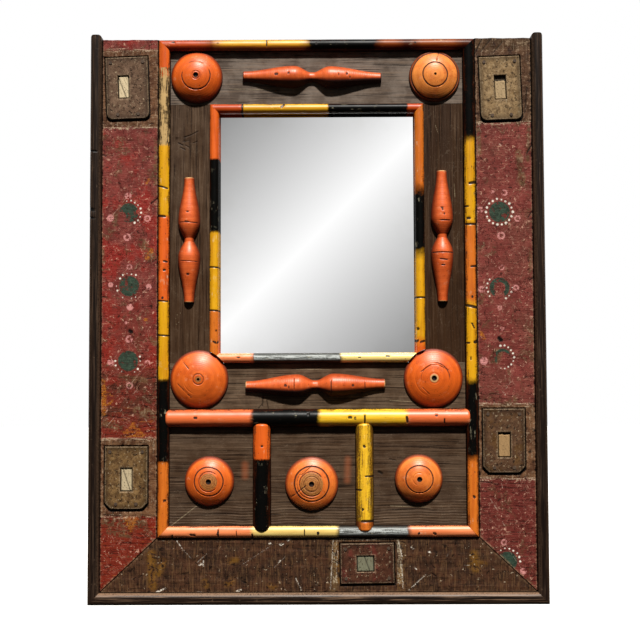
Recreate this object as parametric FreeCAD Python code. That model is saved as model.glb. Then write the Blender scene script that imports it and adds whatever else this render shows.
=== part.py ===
import FreeCAD
import Part
import math
import os

Vector = FreeCAD.Vector

# A wall mirror put together from old boards. Mouldings and painted boards run round the outside, and
# dark boards inside them carry half-round beads and rods, turned bosses and split spindles.
# +X is to the viewer's right, +Z is up, and the wall lies at Y = 0 with the viewer towards -Y.
# All sizes are in millimetres. Heights count from the bottom edge and depths from the wall.
# The origin is on the wall plane, in the middle of the back of the upper batten.

# Overall
overall_width = 610.0
overall_height = 762.0
hang_drop = 57.0

# Outer mouldings, rounded at the front and standing a little above the boards
moulding_width = 15.0
moulding_depth = 46.0
moulding_round = 6.0
moulding_tip_round = 4.0
moulding_rise = 5.0

# Painted outer boards and dark inner boards
side_board_width = 76.5
bottom_board_width = 72.0
outer_board_thickness = 22.0
panel_thickness = 18.0
panel_drop = 1.0
stile_width = 69.0
top_rail_width = 88.0
middle_rail_width = 73.5
lower_panel_width = 158.0

# Half-round beads
edge_bead_width = 14.0
edge_bead_rise = 10.0
mirror_bead_width = 13.0
mirror_bead_rise = 9.0

# Mirror and what backs it
glass_thickness = 4.0
backing_thickness = 5.0
glass_play = 1.5

# Thick half-round rods over the joint of the middle rail and the lower panel
cross_rod_radius = 12.5
post_rod_radius = 12.5
rod_end_round = 5.0
cross_rod_lap = 3.0
post_rod_lap = 6.0
left_post_share = 0.3735
right_post_share = 0.3108

# Turned bosses: a straight rim, a crown, and the radii of the turned rings
boss_top_left = dict(radius=35.0, rim=2.0, crown=18.0, rings=(19.0,))
boss_top_right = dict(radius=34.5, rim=2.0, crown=17.0, rings=(16.5, 31.5))
boss_low_left = dict(radius=39.0, rim=3.0, crown=17.0, rings=())
boss_low_right = dict(radius=39.5, rim=3.0, crown=17.0, rings=(18.0, 21.0))
bay_boss_left = dict(radius=33.0, rim=2.5, crown=17.0, rings=(19.0,))
bay_boss_middle = dict(radius=35.5, rim=2.5, crown=16.0, rings=(16.0, 23.0))
bay_boss_right = dict(radius=32.0, rim=2.5, crown=18.0, rings=(18.0,))
ring_groove_radius = 0.9
left_boss_gap = 2.5
right_boss_gap = 5.5
upper_boss_gap = 2.0
lower_boss_gap = 0.4
bay_boss_drops = (5.0, 8.5, 2.5)
bay_boss_shifts = (-1.0, -2.0, -3.0)

# Split spindles: two bulges either side of a waist, tapering to the ends. Gaps are from the ends of the
# level ones to the bosses left and right of them, and of the upright ones to the bottom and top of the
# opening.
spindle_waist_radius = 6.5
spindle_bulge_radius = 13.0
spindle_end_radius = 6.0
spindle_neck = 4.0
spindle_bulge_at = 24.0
spindle_pin_share = 0.5
low_spindle_drop = 8.5
right_spindle_shift = -4.0
spindle_tilt = 0.9
top_spindle_gaps = (27.5, 37.5)
low_spindle_gaps = (23.0, 25.0)
left_spindle_gaps = (81.25, 99.75)
right_spindle_gaps = (81.25, 91.75)

# Slotted plates let into the outer boards. Margins are to the outer and inner edge of the board, below_top
# and above_foot place the plate's middle, and a tenon end stands in each slot.
plate_top_left = dict(outer=5.5, inner=13.5, below_top=66.5, tall=85.0, turn=-2.0, corner="round",
                      slot_width=15.0, slot_height=31.0, slot_across=-5.0, slot_up=1.5)
plate_top_right = dict(outer=14.0, inner=7.0, below_top=69.0, tall=87.0, turn=-2.0, corner="round",
                       slot_width=16.0, slot_height=33.0, slot_across=0.0, slot_up=1.0)
plate_low_left = dict(outer=6.5, inner=13.0, above_foot=166.5, tall=83.0, turn=0.0, corner="cut",
                      slot_width=16.0, slot_height=31.0, slot_across=0.5, slot_up=-2.5)
plate_low_right = dict(outer=14.5, inner=6.0, above_foot=214.0, tall=85.0, turn=0.0, corner="cut",
                       slot_width=17.0, slot_height=33.0, slot_across=0.5, slot_up=-5.5)
plate_bottom = dict(x=65.0, width=71.0, below=11.5, above=7.5, turn=-0.8, corner="square",
                    slot_width=23.0, slot_height=21.0, slot_across=-2.5, slot_up=-0.5)
plate_thickness = 4.0
plate_seat = 3.0
plate_gap = 1.2
plate_corner = 8.0
tenon_play = 0.2
tenon_sink = 1.5
mortise_depth = 8.0
plate_nail_inset = 7.0

# Battens behind, hangers and turn buttons
batten_thickness = 16.0
batten_width = 60.0
level_batten_width = 40.0
batten_end_gap = 14.0
strap_width = 14.0
strap_thickness = 1.2
strap_length = 40.0
strap_screw_places = (21.0, 33.0)
ring_wire_radius = 1.5
ring_radius = 13.0
ring_play = 0.1
ring_rest_gap = 0.3
ring_drop = 6.0
button_length = 40.0
button_width = 11.0
button_thickness = 1.6
button_gap = 0.3
button_reach = 8.0
button_inset = 70.0
button_play = 0.1

# Fasteners, with their length from the top of the head to the point
pin_size = dict(shank=0.9, head=1.8, head_height=1.0, length=22.0)
moulding_pin_size = dict(shank=0.9, head=1.8, head_height=1.0, length=32.0)
rod_pin_size = dict(shank=0.9, head=2.0, head_height=1.0, length=26.0)
plate_nail_size = dict(shank=0.9, head=2.2, head_height=1.0, length=10.0)
boss_screw_size = dict(shank=1.8, head=3.0, head_height=2.0, length=24.0)
batten_screw_size = dict(shank=2.0, head=4.0, head_height=2.5, length=27.0)
strap_screw_size = dict(shank=1.75, head=3.3, head_height=1.8, length=12.0)
button_screw_size = dict(shank=1.9, head=3.8, head_height=2.0, length=14.0)
dowel_radius = 4.0
dowel_length = 30.0
dowel_end_gap = 0.5
dowel_spread = 34.0
rail_dowel_spread = 110.0
fastener_play = 0.1
pin_sink = 0.4
boss_screw_sink = 3.0
nail_proud = 0.6
cope_gap = 0.25
far = 200.0

# Largest share of the room for it that a rounded edge may take
bead_round_share = 0.9
moulding_round_share = 0.45
rod_round_share = 0.8
button_round_share = 0.49

# Planes and edges that follow from the sizes above
hang_height = overall_height - hang_drop
board_back = batten_thickness
panel_face = board_back + panel_thickness
outer_face = board_back + outer_board_thickness
glass_back = board_back + backing_thickness
glass_face = glass_back + glass_thickness
frame_edge = overall_width / 2
board_edge = frame_edge - moulding_width
panel_edge = board_edge - side_board_width
bead_edge = panel_edge - edge_bead_width
board_bottom = moulding_width
panel_bottom = board_bottom + bottom_board_width
bead_bottom = panel_bottom + edge_bead_width
board_top = overall_height - moulding_rise
panel_top = board_top - panel_drop
bead_top = panel_top - edge_bead_width
opening_edge = panel_edge - stile_width
opening_top = panel_top - top_rail_width
rail_bottom = panel_bottom + lower_panel_width
opening_bottom = rail_bottom + middle_rail_width
left_post_x = -bead_edge * left_post_share
right_post_x = bead_edge * right_post_share
batten_inner = panel_edge - batten_width / 2
batten_outer = panel_edge + batten_width / 2
upper_boss_height = bead_top - upper_boss_gap - boss_top_left["radius"]
into_wall = Vector(0, 1, 0)
upward = Vector(0, 0, 1)
rightward = Vector(1, 0, 0)

pieces = {}
holes = {}
groups = {}


def at(x, depth, height):
    return Vector(x, -depth, height - hang_height)


def block(x0, x1, depth0, depth1, height0, height1):
    return Part.makeBox(x1 - x0, depth1 - depth0, height1 - height0, at(x0, depth1, height0))


def slab(outline, depth0, depth1):
    """Flat piece with a straight-sided outline of (x, height) corners."""
    corners = [at(x, depth0, height) for x, height in outline]
    face = Part.Face(Part.makePolygon(corners + corners[:1]))
    return face.extrude(into_wall * (depth0 - depth1))


def mirrored(outline):
    return [(-x, height) for x, height in outline]


def bar(section, start, end, upright):
    """Bar along Z when upright, else along X. section gives its edges from places (across, depth)."""
    if upright:
        edges = section(lambda across, depth: at(across, depth, start))
        run = upward * (end - start)
    else:
        edges = section(lambda across, depth: at(start, depth, across))
        run = rightward * (end - start)
    return Part.Face(Part.Wire(edges)).extrude(run)


def half_round_bar(across0, across1, back, front, start, end, upright):
    """Bead with a flat back, straight sides and a half-round front."""
    shoulder = front - min((across1 - across0) / 2, (front - back) * bead_round_share)

    def section(place):
        feet = [place(across0, shoulder), place(across0, back), place(across1, back),
                place(across1, shoulder)]
        crown = place((across0 + across1) / 2, front)
        sides = [Part.makeLine(a, b) for a, b in zip(feet, feet[1:])]
        return sides + [Part.Arc(feet[3], crown, feet[0]).toShape()]

    return bar(section, start, end, upright)


def moulding_bar(across0, across1, start, end, upright):
    """Moulding with its two front corners rounded."""
    radius = min(moulding_round, (across1 - across0) * moulding_round_share)
    turn = radius * (1 - math.sqrt(0.5))
    shoulder = moulding_depth - radius

    def section(place):
        low = [place(across0, shoulder), place(across0 + turn, moulding_depth - turn),
               place(across0 + radius, moulding_depth)]
        high = [place(across1 - radius, moulding_depth), place(across1 - turn, moulding_depth - turn),
                place(across1, shoulder)]
        feet = [place(across1, 0), place(across0, 0)]
        return [Part.Arc(*low).toShape(), Part.makeLine(low[2], high[0]), Part.Arc(*high).toShape(),
                Part.makeLine(high[2], feet[0]), Part.makeLine(*feet), Part.makeLine(feet[1], low[0])]

    return bar(section, start, end, upright)


def half_rod(length, radius):
    """Half-round rod along X, flat on the board at y = 0, with its ends rounded over."""
    ease = min(rod_end_round, radius * rod_round_share)
    turn = ease * (1 - math.sqrt(0.5))
    end = length / 2
    points = [(-end, 0), (-end, radius - ease), (-end + turn, radius - turn), (-end + ease, radius),
              (end - ease, radius), (end - turn, radius - turn), (end, radius - ease), (end, 0)]
    v = [Vector(x, 0, z) for x, z in points]
    edges = [Part.makeLine(v[0], v[1]), Part.Arc(v[1], v[2], v[3]).toShape(), Part.makeLine(v[3], v[4]),
             Part.Arc(v[4], v[5], v[6]).toShape(), Part.makeLine(v[6], v[7]), Part.makeLine(v[7], v[0])]
    return Part.Face(Part.Wire(edges)).revolve(Vector(), rightward, 180)


def placed(shape, x, depth, height, turn=0.0):
    """Turn a shape about its own depth axis, clockwise to the viewer, and set it down on the part."""
    moved = shape.copy()
    moved.rotate(Vector(), into_wall, turn)
    moved.translate(at(x, depth, height))
    return moved


def stud(size, start, direction, play=0.0, reach=0.0):
    """Head and shank in one. play widens it into its hole, and reach opens the hole to the surface."""
    deep = size["head_height"] + play + reach
    head = Part.makeCylinder(size["head"] + play, deep, start - direction * reach, direction)
    return head.fuse(shank_hole(size, start, direction, play))


def shank_hole(size, start, direction, play):
    return Part.makeCylinder(size["shank"] + play, size["length"] + play, start, direction)


def drive(group, fastener, hole, through):
    """Add a fastener to its group and keep its hole for each piece that it passes through."""
    groups.setdefault(group, []).append(fastener)
    for name in through:
        holes.setdefault(name, []).append(hole)


def drive_stud(group, size, start, direction, through):
    hole = stud(size, start, direction, fastener_play, far)
    drive(group, stud(size, start, direction), hole, through)


def spread(low, high, count):
    """Evenly spaced places, half a step in from both ends."""
    step = (high - low) / count
    return [low + step * (i + 0.5) for i in range(count)]


def make_mouldings():
    foot = (frame_edge, 0.0)
    mitre = (board_edge, board_bottom)
    outline = [foot, mitre, (board_edge, overall_height), (frame_edge, overall_height)]
    upright = slab(outline, 0, moulding_depth)
    tips = [e for e in upright.Edges if all(abs(v.Z - hang_drop) < 1e-6 for v in e.Vertexes)
            and abs(e.Vertexes[0].X - e.Vertexes[1].X) < 1e-6]
    upright = upright.makeFillet(moulding_tip_round, tips)
    right = moulding_bar(board_edge, frame_edge, 0, overall_height, True).common(upright)
    pieces["right_moulding"] = right
    pieces["left_moulding"] = right.mirror(Vector(), rightward)
    outline = [(-frame_edge, 0.0), foot, mitre, (-board_edge, board_bottom)]
    level = moulding_bar(0, moulding_width, -frame_edge, frame_edge, False)
    pieces["bottom_moulding"] = level.common(slab(outline, 0, moulding_depth))
    pin_depth = board_back + outer_board_thickness / 2
    for side, name in ((-1, "left"), (1, "right")):
        for height in spread(panel_bottom, board_top, 5):
            start = at(side * (frame_edge - pin_sink), pin_depth, height)
            drive_stud("panel_pins", moulding_pin_size, start, rightward * -side,
                       (name + "_moulding", name + "_board"))
    for x in spread(-panel_edge, panel_edge, 4):
        drive_stud("panel_pins", moulding_pin_size, at(x, pin_depth, pin_sink), upward,
                   ("bottom_moulding", "bottom_board"))


def make_boards():
    outline = [(panel_edge, panel_bottom), (board_edge, board_bottom), (board_edge, board_top),
               (panel_edge, board_top)]
    pieces["right_board"] = slab(outline, board_back, outer_face)
    pieces["left_board"] = slab(mirrored(outline), board_back, outer_face)
    foot = [(-board_edge, board_bottom), (board_edge, board_bottom), (panel_edge, panel_bottom),
            (-panel_edge, panel_bottom)]
    pieces["bottom_board"] = slab(foot, board_back, outer_face)
    wide = (-panel_edge, panel_edge, board_back, panel_face)
    pieces["top_rail"] = block(*wide, opening_top, panel_top)
    pieces["middle_rail"] = block(*wide, rail_bottom, opening_bottom)
    pieces["lower_panel"] = block(*wide, panel_bottom, rail_bottom)
    for name, x0 in (("left_stile", -panel_edge), ("right_stile", opening_edge)):
        pieces[name] = block(x0, x0 + stile_width, board_back, panel_face, opening_bottom, opening_top)


def make_dowels():
    depth = board_back + panel_thickness / 2

    def dowel(x, joint, through):
        half = dowel_length / 2
        peg = Part.makeCylinder(dowel_radius, dowel_length, at(x, depth, joint - half), upward)
        hole = Part.makeCylinder(dowel_radius + fastener_play, dowel_length + 2 * dowel_end_gap,
                                 at(x, depth, joint - half - dowel_end_gap), upward)
        drive("dowels", peg, hole, through)

    middle = (opening_edge + panel_edge) / 2
    for side, stile in ((-1, "left_stile"), (1, "right_stile")):
        for shift in (-dowel_spread / 2, dowel_spread / 2):
            dowel(side * middle + shift, opening_top, (stile, "top_rail"))
            dowel(side * middle + shift, opening_bottom, (stile, "middle_rail"))
    for shift in (-rail_dowel_spread, 0.0, rail_dowel_spread):
        dowel(shift, rail_bottom, ("middle_rail", "lower_panel"))


def bead_frame(edge, top, bottom, width, back, front, grow=0.0):
    """Four half-round beads inside a rectangle, mitred at its corners. grow makes a coping tool of them."""
    inner, low, high = edge - width, bottom + width, top - width
    upright = [(edge, bottom), (edge, top), (inner, high), (inner, low)]
    over = [(-edge, top), (edge, top), (inner, high), (-inner, high)]
    under = [(-edge, bottom), (edge, bottom), (inner, low), (-inner, low)]
    right = half_round_bar(inner - grow, edge + grow, back, front + grow, bottom, top, True)
    level = half_round_bar(high - grow, top + grow, back, front + grow, -edge, edge, False)
    floor = half_round_bar(bottom - grow, low + grow, back, front + grow, -edge, edge, False)
    if grow:
        return {"right": right, "left": right.mirror(Vector(), rightward), "top": level, "bottom": floor}
    right = right.common(slab(upright, back, front))
    return {"right": right, "left": right.mirror(Vector(), rightward),
            "top": level.common(slab(over, back, front)), "bottom": floor.common(slab(under, back, front))}


def edge_beads(grow=0.0):
    return bead_frame(panel_edge, panel_top, panel_bottom, edge_bead_width, panel_face,
                      panel_face + edge_bead_rise, grow)


def make_edge_beads():
    for side, shape in edge_beads().items():
        pieces["edge_bead_" + side] = shape
    head = panel_face + edge_bead_rise - pin_sink
    half = edge_bead_width / 2
    for side, sign in (("left", -1), ("right", 1)):
        seats = [("lower_panel", (bead_bottom + rail_bottom) / 2)]
        seats += [(side + "_stile", height) for height in spread(opening_bottom, opening_top, 2)]
        for board, height in seats:
            drive_stud("panel_pins", pin_size, at(sign * (panel_edge - half), head, height), into_wall,
                       ("edge_bead_" + side, board))
    for x in spread(-bead_edge, bead_edge, 3):
        drive_stud("panel_pins", pin_size, at(x, head, panel_top - half), into_wall,
                   ("edge_bead_top", "top_rail"))
        drive_stud("panel_pins", pin_size, at(x, head, panel_bottom + half), into_wall,
                   ("edge_bead_bottom", "lower_panel"))


def make_mirror_beads():
    beads = bead_frame(opening_edge, opening_top, opening_bottom, mirror_bead_width, glass_face,
                       panel_face + mirror_bead_rise)
    for side, shape in beads.items():
        for x, height, size in corner_bosses().values():
            foot = at(x, panel_face - cope_gap, height)
            shape = shape.cut(Part.makeCylinder(size["radius"] + cope_gap, far, foot, -into_wall))
        pieces["mirror_bead_" + side] = shape
    pin_depth = (glass_face + panel_face) / 2
    inset = mirror_bead_width - pin_sink
    for height in spread(opening_bottom, opening_top, 2):
        for side, sign in (("left", -1), ("right", 1)):
            drive_stud("panel_pins", pin_size, at(sign * (opening_edge - inset), pin_depth, height),
                       rightward * sign, ("mirror_bead_" + side, side + "_stile"))
    for x in spread(-opening_edge, opening_edge, 2):
        drive_stud("panel_pins", pin_size, at(x, pin_depth, opening_top - inset), upward,
                   ("mirror_bead_top", "top_rail"))
        drive_stud("panel_pins", pin_size, at(x, pin_depth, opening_bottom + inset), -upward,
                   ("mirror_bead_bottom", "middle_rail"))


def make_glass():
    edge = opening_edge - glass_play
    low, high = opening_bottom + glass_play, opening_top - glass_play
    pieces["mirror_glass"] = block(-edge, edge, glass_back, glass_face, low, high)
    pieces["backing_board"] = block(-edge, edge, board_back, glass_back, low, high)


def make_rods():
    beads = edge_beads(cope_gap)
    cross = half_rod(2 * (bead_edge + cross_rod_lap), cross_rod_radius)
    cross = placed(cross, 0, panel_face, rail_bottom)
    pieces["cross_rod"] = cross.cut([beads["left"], beads["right"]])
    head = panel_face + cross_rod_radius - pin_sink
    for x in spread(-bead_edge, bead_edge, 4):
        drive_stud("panel_pins", rod_pin_size, at(x, head, rail_bottom), into_wall,
                   ("cross_rod", "middle_rail", "lower_panel"))
    tool = half_rod(4 * bead_edge, cross_rod_radius + cope_gap)
    tool = placed(tool, 0, panel_face, rail_bottom)
    low = bead_bottom - post_rod_lap
    for name, x in (("left_post_rod", left_post_x), ("right_post_rod", right_post_x)):
        post = half_rod(rail_bottom - low, post_rod_radius)
        post = placed(post, x, panel_face, (low + rail_bottom) / 2, 90)
        pieces[name] = post.cut([tool, beads["bottom"]])
        head = panel_face + post_rod_radius - pin_sink
        for height in spread(bead_bottom, rail_bottom - cross_rod_radius, 2):
            drive_stud("panel_pins", rod_pin_size, at(x, head, height), into_wall, (name, "lower_panel"))


def boss(size):
    """Turned cap: a short straight rim, a spherical crown and shallow turned rings."""
    radius, crown = size["radius"], size["crown"]
    rise = crown - size["rim"]
    sphere = (radius ** 2 + rise ** 2) / (2 * rise)

    def surface(r):
        return Vector(r, sphere - crown - math.sqrt(sphere ** 2 - r ** 2), 0)

    base, foot, edge, top = Vector(), Vector(radius, 0, 0), surface(radius), surface(0)
    outline = [Part.makeLine(base, foot), Part.makeLine(foot, edge),
               Part.Arc(edge, surface(radius / 2), top).toShape(), Part.makeLine(top, base)]
    cap = Part.Face(Part.Wire(outline)).revolve(Vector(), into_wall, 360)
    for ring in size["rings"]:
        centre = Vector(0, surface(ring).y, 0)
        cap = cap.cut(Part.makeTorus(ring, ring_groove_radius, centre, into_wall))
    return cap


def corner_bosses():
    """Place and size of the four large bosses, set against the beads above and the cross rod below."""
    left, right = bead_edge - left_boss_gap, bead_edge - right_boss_gap
    seat = rail_bottom + cross_rod_radius + lower_boss_gap
    low_left, low_right = boss_low_left["radius"], boss_low_right["radius"]
    return {
        "boss_top_left": (boss_top_left["radius"] - left, upper_boss_height, boss_top_left),
        "boss_top_right": (right - boss_top_right["radius"], upper_boss_height, boss_top_right),
        "boss_low_left": (low_left - left, seat + low_left, boss_low_left),
        "boss_low_right": (right - low_right, seat + low_right, boss_low_right),
    }


def bay_bosses():
    """Place and size of the three small bosses, near the middle of the bays between the post rods."""
    left, right = left_post_x, right_post_x
    stops = (-bead_edge, left - post_rod_radius, left + post_rod_radius, right - post_rod_radius,
             right + post_rod_radius, bead_edge)
    middle = (bead_bottom + rail_bottom - cross_rod_radius) / 2
    rows = (("bay_boss_left", bay_boss_left), ("bay_boss_middle", bay_boss_middle),
            ("bay_boss_right", bay_boss_right))
    places = {}
    for i, (name, size) in enumerate(rows):
        x = (stops[2 * i] + stops[2 * i + 1]) / 2 + bay_boss_shifts[i]
        places[name] = (x, middle - bay_boss_drops[i], size)
    return places


def make_bosses():
    seats = {"boss_top_left": "top_rail", "boss_top_right": "top_rail", "boss_low_left": "middle_rail",
             "boss_low_right": "middle_rail"}
    for name, (x, height, size) in {**corner_bosses(), **bay_bosses()}.items():
        pieces[name] = placed(boss(size), x, panel_face, height)
        head = at(x, panel_face + size["crown"] - boss_screw_sink, height)
        drive_stud("boss_screws", boss_screw_size, head, into_wall, (name, seats.get(name, "lower_panel")))


def spindle_radius(along, length):
    """Radius of a spindle: a cosine swell from the waist to the bulge, then a cosine taper to the end."""
    along = abs(along)
    if along < spindle_bulge_at:
        low = spindle_waist_radius
        share = max(0.0, (along - spindle_neck) / (spindle_bulge_at - spindle_neck))
    else:
        low = spindle_end_radius
        share = (length / 2 - along) / (length / 2 - spindle_bulge_at)
    return low + (spindle_bulge_radius - low) * math.sin(share * math.pi / 2) ** 2


def spindle(length):
    """Turned spindle along X, split down its length so that its flat back lies at y = 0."""
    end = length / 2
    swell = [spindle_neck + (spindle_bulge_at - spindle_neck) * i / 4 for i in range(5)]
    taper = [spindle_bulge_at + (end - spindle_bulge_at) * i / 5 for i in range(1, 6)]
    stations = swell + taper
    stations = [-s for s in reversed(stations)] + [0.0] + stations
    profile = Part.BSplineCurve()
    profile.interpolate([Vector(s, 0, spindle_radius(s, length)) for s in stations])
    first, last = Vector(-end, 0, 0), Vector(end, 0, 0)
    outline = [Part.makeLine(last, first), Part.makeLine(first, profile.StartPoint), profile.toShape(),
               Part.makeLine(profile.EndPoint, last)]
    return Part.Face(Part.Wire(outline)).revolve(Vector(), rightward, 180)


def make_spindles():
    places = corner_bosses()

    def level(pair, gaps):
        left, right = places["boss_" + pair + "_left"], places["boss_" + pair + "_right"]
        return left[0] + left[2]["radius"] + gaps[0], right[0] - right[2]["radius"] - gaps[1]

    def upright(gaps):
        return opening_bottom + gaps[0], opening_top - gaps[1]

    left_line = -(bead_edge + opening_edge) / 2
    right_line = right_spindle_shift - left_line
    low_height = places["boss_low_left"][1] - low_spindle_drop
    rows = (("spindle_top", "top_rail", level("top", top_spindle_gaps), upper_boss_height, spindle_tilt),
            ("spindle_bottom", "middle_rail", level("low", low_spindle_gaps), low_height, -spindle_tilt),
            ("spindle_left", "left_stile", upright(left_spindle_gaps), left_line, 90),
            ("spindle_right", "right_stile", upright(right_spindle_gaps), right_line, 90))
    for name, board, (start, end), line, turn in rows:
        length, middle = end - start, (start + end) / 2
        x, height = (line, middle) if turn == 90 else (middle, line)
        pieces[name] = placed(spindle(length), x, panel_face, height, turn)
        for side in (-1, 1):
            along = side * spindle_pin_share * length / 2
            head = Vector(along, pin_sink - spindle_radius(along, length), 0)
            pin = placed(stud(pin_size, head, into_wall), x, panel_face, height, turn)
            hole = placed(stud(pin_size, head, into_wall, fastener_play, far), x, panel_face, height, turn)
            drive("panel_pins", pin, hole, (name, board))


def plate_sheet(width, tall, low, corner, thickness):
    """Plate standing on y = 0, with its two lower corners round, cut off or square."""
    half, top = width / 2, tall / 2
    sheet = Part.makeBox(width, thickness, tall + low, Vector(-half, -thickness, -top - low))
    if corner == "square":
        return sheet
    corners = [e for e in sheet.Edges if all(v.Z < -top + 1e-6 for v in e.Vertexes)
               and abs(e.Vertexes[0].Y - e.Vertexes[1].Y) > 1e-6]
    return (sheet.makeFillet if corner == "round" else sheet.makeChamfer)(plate_corner, corners)


def make_plate(name, board, x, height, width, tall, plate):
    """Slotted plate let into a board and nailed there, and the end of the tenon that stands in its slot."""
    floor = outer_face - plate_seat

    def put(shape):
        return placed(shape, x, floor, height, plate["turn"])

    def peg(play, rise, depth):
        wide, high = plate["slot_width"] + 2 * play, plate["slot_height"] + 2 * play
        corner = Vector(plate["slot_across"] - wide / 2, -rise, plate["slot_up"] - high / 2)
        return Part.makeBox(wide, rise + depth, high, corner)

    corner = plate["corner"]
    sheet = plate_sheet(width, tall, 0.0, corner, plate_thickness)
    pieces[name] = put(sheet.cut(peg(tenon_play, plate_thickness, 0)))
    recess = plate_sheet(width + 2 * plate_gap, tall + 2 * plate_gap, plate_gap, corner, plate_thickness)
    holes.setdefault(board, []).append(put(recess))
    tenon = put(peg(0, plate_thickness - tenon_sink, mortise_depth))
    drive("slot_tenons", tenon, put(peg(tenon_play, plate_thickness, mortise_depth + tenon_play)), (board,))
    across, up = width / 2 - plate_nail_inset, tall / 2 - plate_nail_inset
    foot = across if corner == "square" else across - plate_corner
    for u, w in ((-across, up), (across, up), (-foot, -up), (foot, -up)):
        head = Vector(u, -plate_thickness - nail_proud, w)
        nail = put(stud(plate_nail_size, head, into_wall))
        hole = put(stud(plate_nail_size, head, into_wall, fastener_play))
        drive("plate_nails", nail, hole, (name, board))


def make_plates():
    rows = (("plate_top_left", "left_board", -1, plate_top_left),
            ("plate_top_right", "right_board", 1, plate_top_right),
            ("plate_low_left", "left_board", -1, plate_low_left),
            ("plate_low_right", "right_board", 1, plate_low_right))
    for name, board, side, plate in rows:
        outside, inside = board_edge - plate["outer"], panel_edge + plate["inner"]
        x = side * (outside + inside) / 2
        height = board_top - plate["below_top"] if "below_top" in plate else plate["above_foot"]
        make_plate(name, board, x, height, outside - inside, plate["tall"], plate)
    low, high = board_bottom + plate_bottom["below"], panel_bottom - plate_bottom["above"]
    make_plate("plate_bottom", "bottom_board", plate_bottom["x"], (low + high) / 2, plate_bottom["width"],
               high - low, plate_bottom)


def make_battens():
    low, high = board_bottom + batten_end_gap, board_top - batten_end_gap
    half = level_batten_width / 2
    for side, x0 in (("left", -batten_outer), ("right", batten_inner)):
        pieces["batten_" + side] = block(x0, x0 + batten_width, 0, board_back, low, high)
    wide = (-batten_inner, batten_inner, 0, board_back)
    pieces["batten_top"] = block(*wide, hang_height - half, hang_height + half)
    pieces["batten_bottom"] = block(*wide, panel_bottom - half, panel_bottom + half)
    quarter = batten_width / 4
    screw = batten_screw_size
    for side, sign in (("left", -1), ("right", 1)):
        batten, stile = "batten_" + side, side + "_stile"
        inside = [("lower_panel", (panel_bottom + half + rail_bottom) / 2),
                  ("middle_rail", (rail_bottom + opening_bottom - dowel_length / 2) / 2),
                  ("top_rail", (opening_top + dowel_length / 2 + high) / 2)]
        inside += [(stile, height) for height in spread(opening_bottom, opening_top, 3)]
        for board, height in inside:
            place = at(sign * (panel_edge - quarter), pin_sink, height)
            drive_stud("batten_screws", screw, place, -into_wall, (batten, board))
        for height in spread(panel_bottom, high, 5):
            place = at(sign * (panel_edge + quarter), pin_sink, height)
            drive_stud("batten_screws", screw, place, -into_wall, (batten, side + "_board"))
    for x in spread(-batten_inner, batten_inner, 3):
        place = at(x, pin_sink, hang_height)
        drive_stud("batten_screws", screw, place, -into_wall, ("batten_top", "top_rail"))
        for shift, board in ((-half / 2, "bottom_board"), (half / 2, "lower_panel")):
            place = at(x + 2 * shift, pin_sink, panel_bottom + shift)
            drive_stud("batten_screws", screw, place, -into_wall, ("batten_bottom", board))


def make_hangers():
    eye = ring_wire_radius + ring_play
    loop = eye + strap_thickness
    axis_depth = board_back - loop
    axis_height = hang_height - ring_drop
    lean = math.degrees(math.asin((loop - ring_wire_radius - ring_rest_gap) / ring_radius))
    for side, sign in (("left", -1), ("right", 1)):
        x = sign * (batten_outer + board_edge) / 2
        x0 = x - strap_width / 2
        bore = Part.makeCylinder(eye, strap_width, at(x0, axis_depth, axis_height), rightward)
        curl = Part.makeCylinder(loop, strap_width, at(x0, axis_depth, axis_height), rightward)
        leaf = block(x0, x0 + strap_width, board_back - strap_thickness, board_back,
                     axis_height - strap_length, axis_height)
        pieces["hanger_strap_" + side] = leaf.fuse(curl).cut(bore).removeSplitter()
        arch = Part.makeTorus(ring_radius, ring_wire_radius, Vector(), upward, 0, 360, 180)
        arch.rotate(Vector(), rightward, 90)
        straight = Part.makeCylinder(ring_wire_radius, 2 * ring_radius, Vector(-ring_radius, 0, 0), rightward)
        ends = [Part.makeSphere(ring_wire_radius, Vector(s * ring_radius, 0, 0)) for s in (-1, 1)]
        ring = arch.multiFuse([straight] + ends).removeSplitter()
        ring.rotate(Vector(), rightward, lean)
        ring.translate(at(x, axis_depth, axis_height))
        pieces["hanger_ring_" + side] = ring
        for place in strap_screw_places:
            start = at(x, board_back - strap_thickness - strap_screw_size["head_height"], axis_height - place)
            drive("hardware_screws", stud(strap_screw_size, start, -into_wall),
                  shank_hole(strap_screw_size, start, -into_wall, fastener_play),
                  ("hanger_strap_" + side, side + "_board"))


def make_turn_buttons():
    top = board_back - button_gap
    half = button_length / 2
    for level, height in (("upper", opening_top - button_inset), ("lower", opening_bottom + button_inset)):
        for side, sign in (("left", -1), ("right", 1)):
            x = sign * (opening_edge - glass_play - button_reach + half)
            plate = block(x - half, x + half, top - button_thickness, top, height - button_width / 2,
                          height + button_width / 2)
            corners = [e for e in plate.Edges if abs(e.Vertexes[0].Y - e.Vertexes[1].Y) > 1e-6]
            name = "turn_button_" + level + "_" + side
            pieces[name] = plate.makeFillet(button_width * button_round_share, corners)
            start = at(x, top - button_thickness - button_gap - button_screw_size["head_height"], height)
            drive("hardware_screws", stud(button_screw_size, start, -into_wall),
                  shank_hole(button_screw_size, start, -into_wall, button_play), (name, side + "_stile"))


make_mouldings()
make_boards()
make_dowels()
make_edge_beads()
make_mirror_beads()
make_glass()
make_rods()
make_bosses()
make_spindles()
make_plates()
make_battens()
make_hangers()
make_turn_buttons()

for name, tools in holes.items():
    pieces[name] = pieces[name].cut(tools)
for name, solids in groups.items():
    pieces[name] = Part.makeCompound(solids)

os.makedirs("parts", exist_ok=True)
for name, shape in pieces.items():
    if not shape.isValid():
        raise ValueError(name + " is not a valid shape")
    shape.exportStep("parts/" + name + ".step")
    print(name, len(shape.Solids), round(shape.Volume))
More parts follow.
